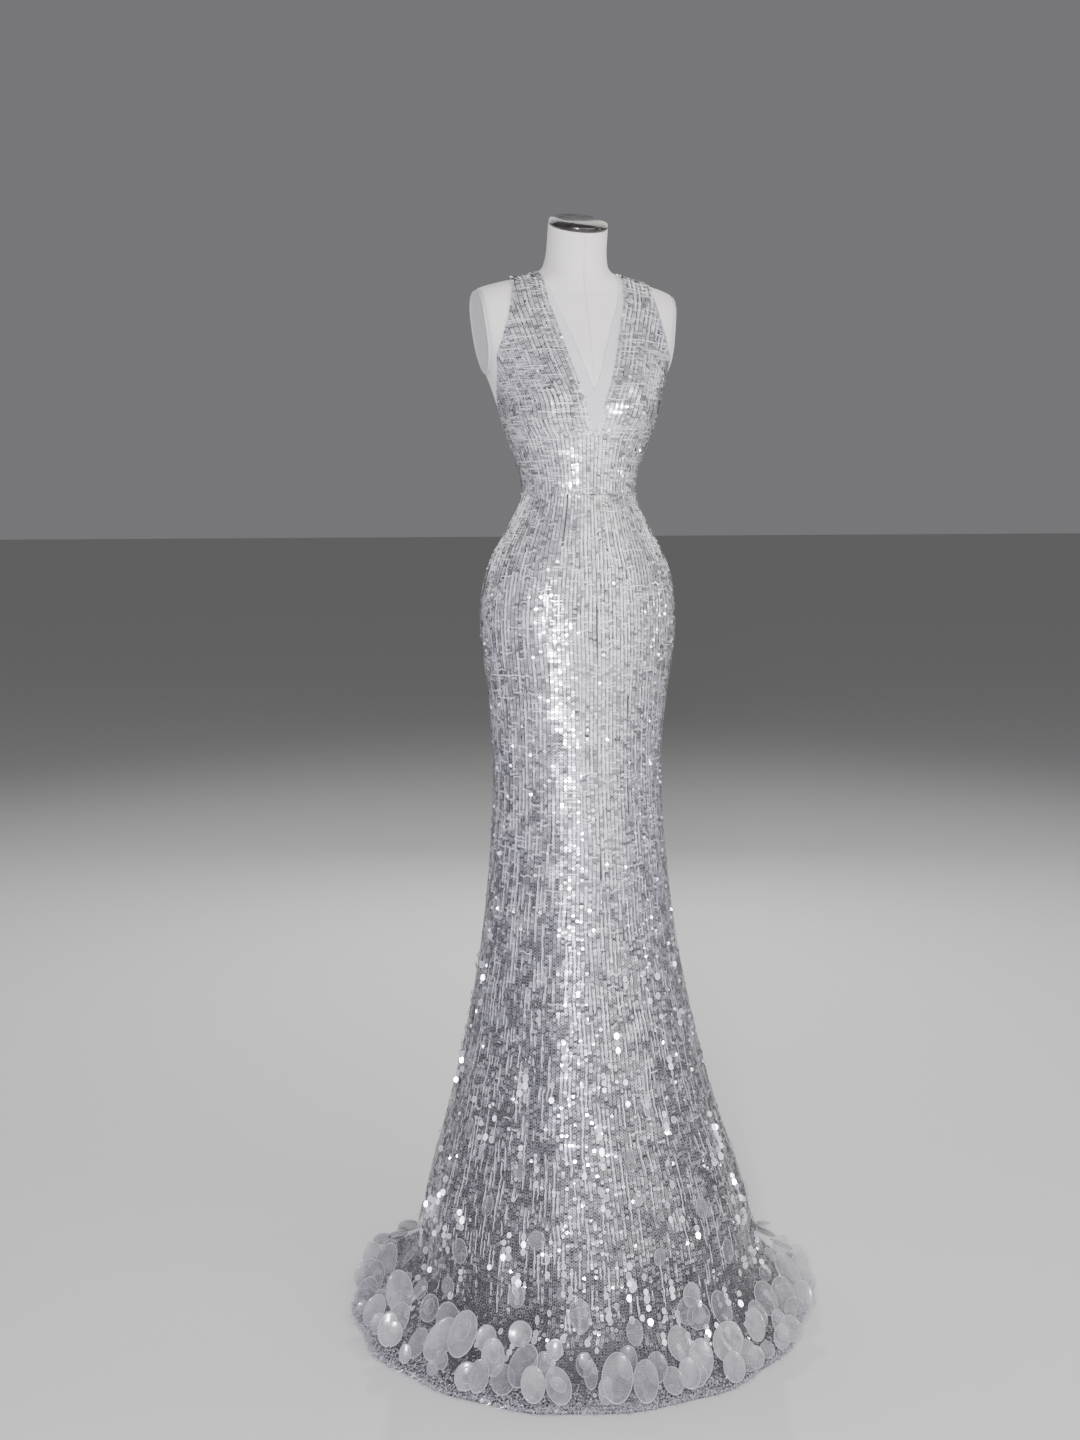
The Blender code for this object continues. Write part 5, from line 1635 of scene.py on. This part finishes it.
@dataclass
class FlareTrim(Sewn):
    """What hangs on the flare: large pearly paillettes, round sequins and the beaded hem."""

    skirt: Skirt
    seed: int = 41
    # Rows of paillettes: how many, the length from the hem and its stray, the size and how far they face up.
    rows: tuple[tuple[int, float, float, float, float], ...] = (
        (66, 0.026, 0.006, 0.88, 0.42), (46, 0.056, 0.012, 1.10, 0.12), (34, 0.100, 0.020, 0.94, 0.03),
    )
    scattered: int = 46
    doubled: float = 0.30  # share of paillettes with a smaller one sewn over their upper half
    half_width: float = 0.0165
    longest: float = 0.036
    front_reach: float = math.radians(102.0)  # ovals turn to the front up to this angle, and to the back beyond
    upright: float = math.radians(16.0)  # turns the hung ovals upright on both sides of this line
    rim_steps: int = 28
    dish_rings: tuple[float, ...] = (0.35, 0.62, 0.82, 0.94, 1.0)
    rounds: int = 400  # short columns of round sequins
    round_column: tuple[float, ...] = (1.0, 0.55, 0.32, 0.18)  # how often a column has each of its sequins
    round_pitch: float = 0.0110
    rounds_free: float = 0.58  # share of them that hang free
    hem_band: float = 0.026  # the length from the hem that most of its beads keep to
    hem_reach: float = 0.150  # and the length that the others and the threads do
    lowest: tuple[float, float] = (0.0002, 0.0005)  # no bead or thread comes nearer to the floor
    hem_beads: int = 5600
    hem_threads: int = 5600
    hem_fringe: int = 2600
    waist_beads: int = 400

    def build(self) -> None:
        """Builds the paillettes, the round sequins, the hem and the waist line."""
        self.random = np.random.default_rng(self.seed)
        self.build_paillettes()
        self.build_rounds()
        self.build_hem_beads()
        self.build_hem_threads()
        self.build_waist()

    def stations_at(self, angle: Array, run: Array) -> Stations:
        """Stations on the skirt by the angle and the length along the cloth from the hem."""
        return Stations.on_chart(self.figure.surface, angle, self.skirt.heights(run))

    def build_paillettes(self) -> None:
        """Ovals hung by their upper ends: three crowded rows along the hem and a scatter above them.

        The angles step evenly round each row with a stray, and the scatter's by the golden angle. Each is a
        shallow dish with a rim.
        """
        chance, normal = self.random.random, self.random.standard_normal
        hung = []
        for count, run, reach, grow, face_up in self.rows:
            angle = (np.arange(count) + 1.1 * chance(count)) * TURN / count
            hung.append([angle, run + reach * normal(count), np.full(count, grow), np.full(count, face_up)])
        count, number = self.scattered, np.arange(self.scattered)
        angle = number * GOLDEN_ANGLE + 0.2 * normal(count)
        run = 0.14 + 0.27 * ((number + 0.5) / count) ** 1.5
        hung.append([angle, run, np.linspace(0.86, 0.56, count), np.full(count, 0.02)])
        angle, run, grow, face_up = np.concatenate(hung, axis=1)
        count = len(angle)
        wide = self.half_width * grow * np.clip(1 + 0.24 * normal(count), 0.58, 1.32)
        slim = 1.15 + 0.35 * np.clip(1.2 - np.abs(run - 0.06) / 0.05, 0, 1)
        tall = np.minimum(wide * np.clip(slim + 0.22 * normal(count), 1.0, 2.0), self.longest)
        run = np.maximum(run, tall + 0.004)
        low = np.clip(1.2 - run / 0.14, 0, 1)
        lean = face_up * (0.4 + 0.9 * chance(count)) + 0.05 * chance(count)
        sway = (0.05 + 0.12 * low) * normal(count)
        sway -= (0.30 + 0.80 * chance(count)) * low * self.facing_share(angle + self.upright)
        lift = 0.7 * np.abs(sway) * wide + (0.6 * lean + 0.15 * low) * tall + 0.004 * low * chance(count)
        stations = self.stations_at(angle, run).raised(self.cloth.sequin_seat + 0.0022 + lift)
        stations = stations.leaned(lean, sway).faced(0.5 * np.clip(1.5 * low, 0, 1)).hung(0.95)
        stations = stations.spun(0.16 * normal(count))
        stations.places[:, 2] = np.maximum(stations.places[:, 2], np.abs(stations.ups[:, 2]) * tall + 0.002)
        twice = chance(count) < self.doubled
        count = twice.sum()
        over = stations.kept(twice).raised(0.0028 + 0.0012 * chance(count))
        over.places += over.ups * (0.25 * chance(count) * tall[twice])[:, None]
        stations = stations.joined(over.spun(0.5 * normal(count)))
        share = 0.42 + 0.20 * chance(count)
        wide, tall = (np.append(size, share * size[twice]) for size in (wide, tall))
        oval = Trim.oval(np.array(self.dish_rings), self.rim_steps)
        shape = spread(oval, stations, (wide, tall, wide), chance(len(wide)))
        solids = [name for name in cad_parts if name.startswith("paillette_")]
        make_piece("paillettes", shape, self.finishes["pearl"], solids)

    def facing_share(self, turn: Array) -> Array:
        """How far an oval turns to face the front or the back: from 0 at both to 1 where they meet."""
        turn = (turn + math.pi) % TURN - math.pi
        behind = np.sign(turn) * (np.abs(turn) - math.pi) / (math.pi - self.front_reach)
        return np.where(np.abs(turn) < self.front_reach, turn / self.front_reach, behind)

    def build_rounds(self) -> None:
        """Clear sequins 6 to 9 mm wide in short columns over the lower skirt, closer together near the hem."""
        chance, normal = self.random.random, self.random.standard_normal
        column, place = np.meshgrid(np.arange(self.rounds), np.arange(len(self.round_column)), indexing="ij")
        there = chance(column.shape) < np.array(self.round_column)
        angle = (chance(self.rounds) * TURN)[column][there]
        run = (0.06 + 0.62 * chance(self.rounds) ** 1.6)[column][there] + self.round_pitch * place[there]
        count = len(run)
        stations = self.stations_at(angle, run).raised(self.cloth.sequin_seat + 0.0024 + 0.001 * chance(count))
        stray = np.where(chance(count) < 0.55, 0.09, 0.40)
        lean, sway = stray * normal((2, count))
        stations = stations.scattered(self.random, chance(count) < self.rounds_free, 0.06 + 0.6 * lean, sway)
        radius = 0.0032 + 0.0013 * chance(count)
        sizes = (radius, radius * (1.15 + 0.35 * chance(count)), radius)
        shape = spread(Trim.dish(12, 0.006), stations, sizes, 0.7 + 0.3 * chance(count))
        self.make_trim("skirt_round_sequins", shape, "round_sequins", "paillettes")

    def build_hem_beads(self) -> None:
        """A band of small beads along the hem, with a few scattered above it."""
        chance, count = self.random.random, self.hem_beads
        angle = chance(count) * TURN
        run = 0.0022 + np.where(chance(count) < 0.82, self.hem_band, self.hem_reach) * chance(count) ** 1.3
        stations = self.stations_at(angle, run).raised(0.0022 + 0.0034 * chance(count))
        shape = spread(Trim.bead(), stations, [0.0011 + 0.0007 * chance(count)] * 3, chance(count))
        shape.points[:, 2] = np.maximum(shape.points[:, 2], self.lowest[0])
        self.make_trim("hem_beads", shape, "glass_beads")

    def build_hem_threads(self) -> None:
        """Loose bead threads along the hem: a fringe that hangs from it and short ends above."""
        chance, count = self.random.random, self.hem_threads
        angle = chance(count) * TURN
        run = 0.004 + self.hem_reach * chance(count) ** 2
        run[: self.hem_fringe] = 0.002 + 0.004 * chance(self.hem_fringe)
        stations = self.stations_at(angle, run).raised(0.002)
        loose = 0.6 * self.random.standard_normal((count, 3))
        direction = stations.outs * (0.5 + chance(count)[:, None]) + loose
        fringe = np.arange(count) < self.hem_fringe
        ups = unit(np.where(fringe[:, None], 0.5 * stations.outs - 1.2 * stations.ups + loose, direction))
        length, thick = 0.005 + 0.010 * chance(count), np.where(fringe, 0.0008, 0.0004)
        threads = Stations(stations.places, ups, unit(np.cross(ups, stations.ups)))
        shape = spread(Trim.thread(), threads, (thick, length, thick), chance(count))
        shape.points[:, 2] = np.maximum(shape.points[:, 2], self.lowest[1])
        self.make_trim("hem_threads", shape, "glass_beads")

    def build_waist(self) -> None:
        """A line of small beads over the waist seam."""
        chance, count = self.random.random, self.waist_beads
        height = np.full(count, self.figure.waist) + 0.0003 * self.random.standard_normal(count)
        stations = Stations.on_chart(self.figure.surface, np.arange(count) * TURN / count, height).raised(0.0042)
        shape = spread(Trim.bead(), stations, [0.0009 + 0.0003 * chance(count)] * 3, chance(count))
        self.make_trim("waist_beads", shape, "glass_beads")


# ---------------------------------------------------------------- the studio


@dataclass(frozen=True)
class Light:
    """A square light, by its place to the right of the camera's line, ahead along it and over the floor."""

    name: str
    right: float
    ahead: float
    up: float
    size: float
    power: float
    colour: Colour
    faces: float = 0.9  # the height on the object's axis that it faces

    def build(self, right: Vector, ahead: Vector) -> None:
        """Places the light, which the camera doesn't see."""
        data = bpy.data.lights.new(self.name, "AREA")
        data.size, data.energy, data.color = self.size, self.power, self.colour
        light = bpy.data.objects.new(self.name, data)
        light.visible_camera = False
        light.location = right * self.right + ahead * self.ahead + Vector((0, 0, self.up))
        light.rotation_euler = (Vector((0, 0, self.faces)) - light.location).to_track_quat("-Z", "Y").to_euler()
        bpy.context.scene.collection.objects.link(light)


@dataclass
class Studio:
    """A pale floor, soft light and the camera."""

    azimuth: float = math.radians(-16.0)
    distance: float = 2.92
    height: float = 1.361
    focal_pixels: float = 1738.0
    image: tuple[int, int] = (1080, 1440)
    axis_pixel: float = 579.0
    horizon_pixel: float = 500.0
    sensor: float = 36.0
    floor_reach: float = 60.0
    floor_colour: Colour = (0.62, 0.61, 0.60)
    sky_colour: Colour = (0.61, 0.605, 0.63)
    sky_strength: float = 0.305
    lights: tuple[Light, ...] = (
        Light("flash", -0.12, -2.92, 1.411, 0.30, 129.0, (0.915, 0.91, 1.0)),
        Light("warm_side", 2.1, -2.42, 2.261, 3.0, 80.0, (1.0, 0.965, 0.935), 1.25),
        Light("back_cool", -2.2, 2.5, 3.7, 4.0, 88.0, (0.92, 0.95, 1.0)),
        Light("back_warm", 2.2, 2.5, 3.7, 4.0, 88.0, (1.0, 0.98, 0.95)),
        Light("spark_right", 3.0, 0.2, 1.5, 0.20, 8.0, (1.0, 0.97, 0.94)),
        Light("spark_back", 0.0, 3.2, 2.0, 0.14, 50.0, (0.92, 0.95, 1.0)),
    )

    def build(self) -> None:
        """Sets up the floor, the world, the camera and the lights."""
        self.build_floor()
        self.build_world()
        ahead = Vector((-math.sin(self.azimuth), math.cos(self.azimuth), 0))
        self.build_camera(ahead)
        for light in self.lights:
            light.build(Vector((ahead.y, -ahead.x, 0)), ahead)

    def build_floor(self) -> None:
        """A plain pale floor."""
        reach = self.floor_reach
        mesh = bpy.data.meshes.new("floor")
        corners = [(-reach, -reach, 0), (reach, -reach, 0), (reach, reach, 0), (-reach, reach, 0)]
        mesh.from_pydata(corners, [], [(0, 1, 2, 3)])
        floor = bpy.data.objects.new("floor", mesh)
        bpy.context.scene.collection.objects.link(floor)
        made = bpy.data.materials.new("pale_floor")
        made.use_nodes = True
        shader = made.node_tree.nodes["Principled BSDF"]
        NodeTree(made.node_tree).fill(shader, Base_Color=self.floor_colour, Roughness=0.9)
        mesh.materials.append(made)

    def build_world(self) -> None:
        """Even grey light from all round."""
        world = bpy.data.worlds.new("studio")
        world.use_nodes = True
        sky = world.node_tree.nodes["Background"]
        NodeTree(world.node_tree).fill(sky, Color=self.sky_colour, Strength=self.sky_strength)
        bpy.context.scene.world = world

    def build_camera(self, ahead: Vector) -> None:
        """A level camera at the height of the waist, shifted as far as the framing needs."""
        data = bpy.data.cameras.new("camera")
        wide, tall = self.image
        data.sensor_width = self.sensor
        data.lens = self.focal_pixels / tall * data.sensor_width
        data.shift_x = (wide / 2 - self.axis_pixel) / tall
        data.shift_y = (self.horizon_pixel - tall / 2) / tall
        camera = bpy.data.objects.new("camera", data)
        camera.location = Vector((0, 0, self.height)) - ahead * self.distance
        camera.rotation_euler = ahead.to_track_quat("-Z", "Y").to_euler()
        bpy.context.scene.collection.objects.link(camera)
        bpy.context.scene.camera = camera


def main() -> None:
    """Builds the studio, the form, the stand and the gown, in that order."""
    logging.basicConfig(level=logging.INFO, format="%(name)s: %(message)s")
    Studio().build()
    figure, cloth, finishes = Figure(), Cloth(), build_finishes()
    DressForm(figure, finishes).build()
    Stand(finishes).build()
    skirt = Skirt(figure, cloth, finishes)
    skirt.build()
    Bodice(figure, cloth, finishes).build()
    FlareTrim(figure, cloth, finishes, skirt).build()


if __name__ == "__main__":
    main()
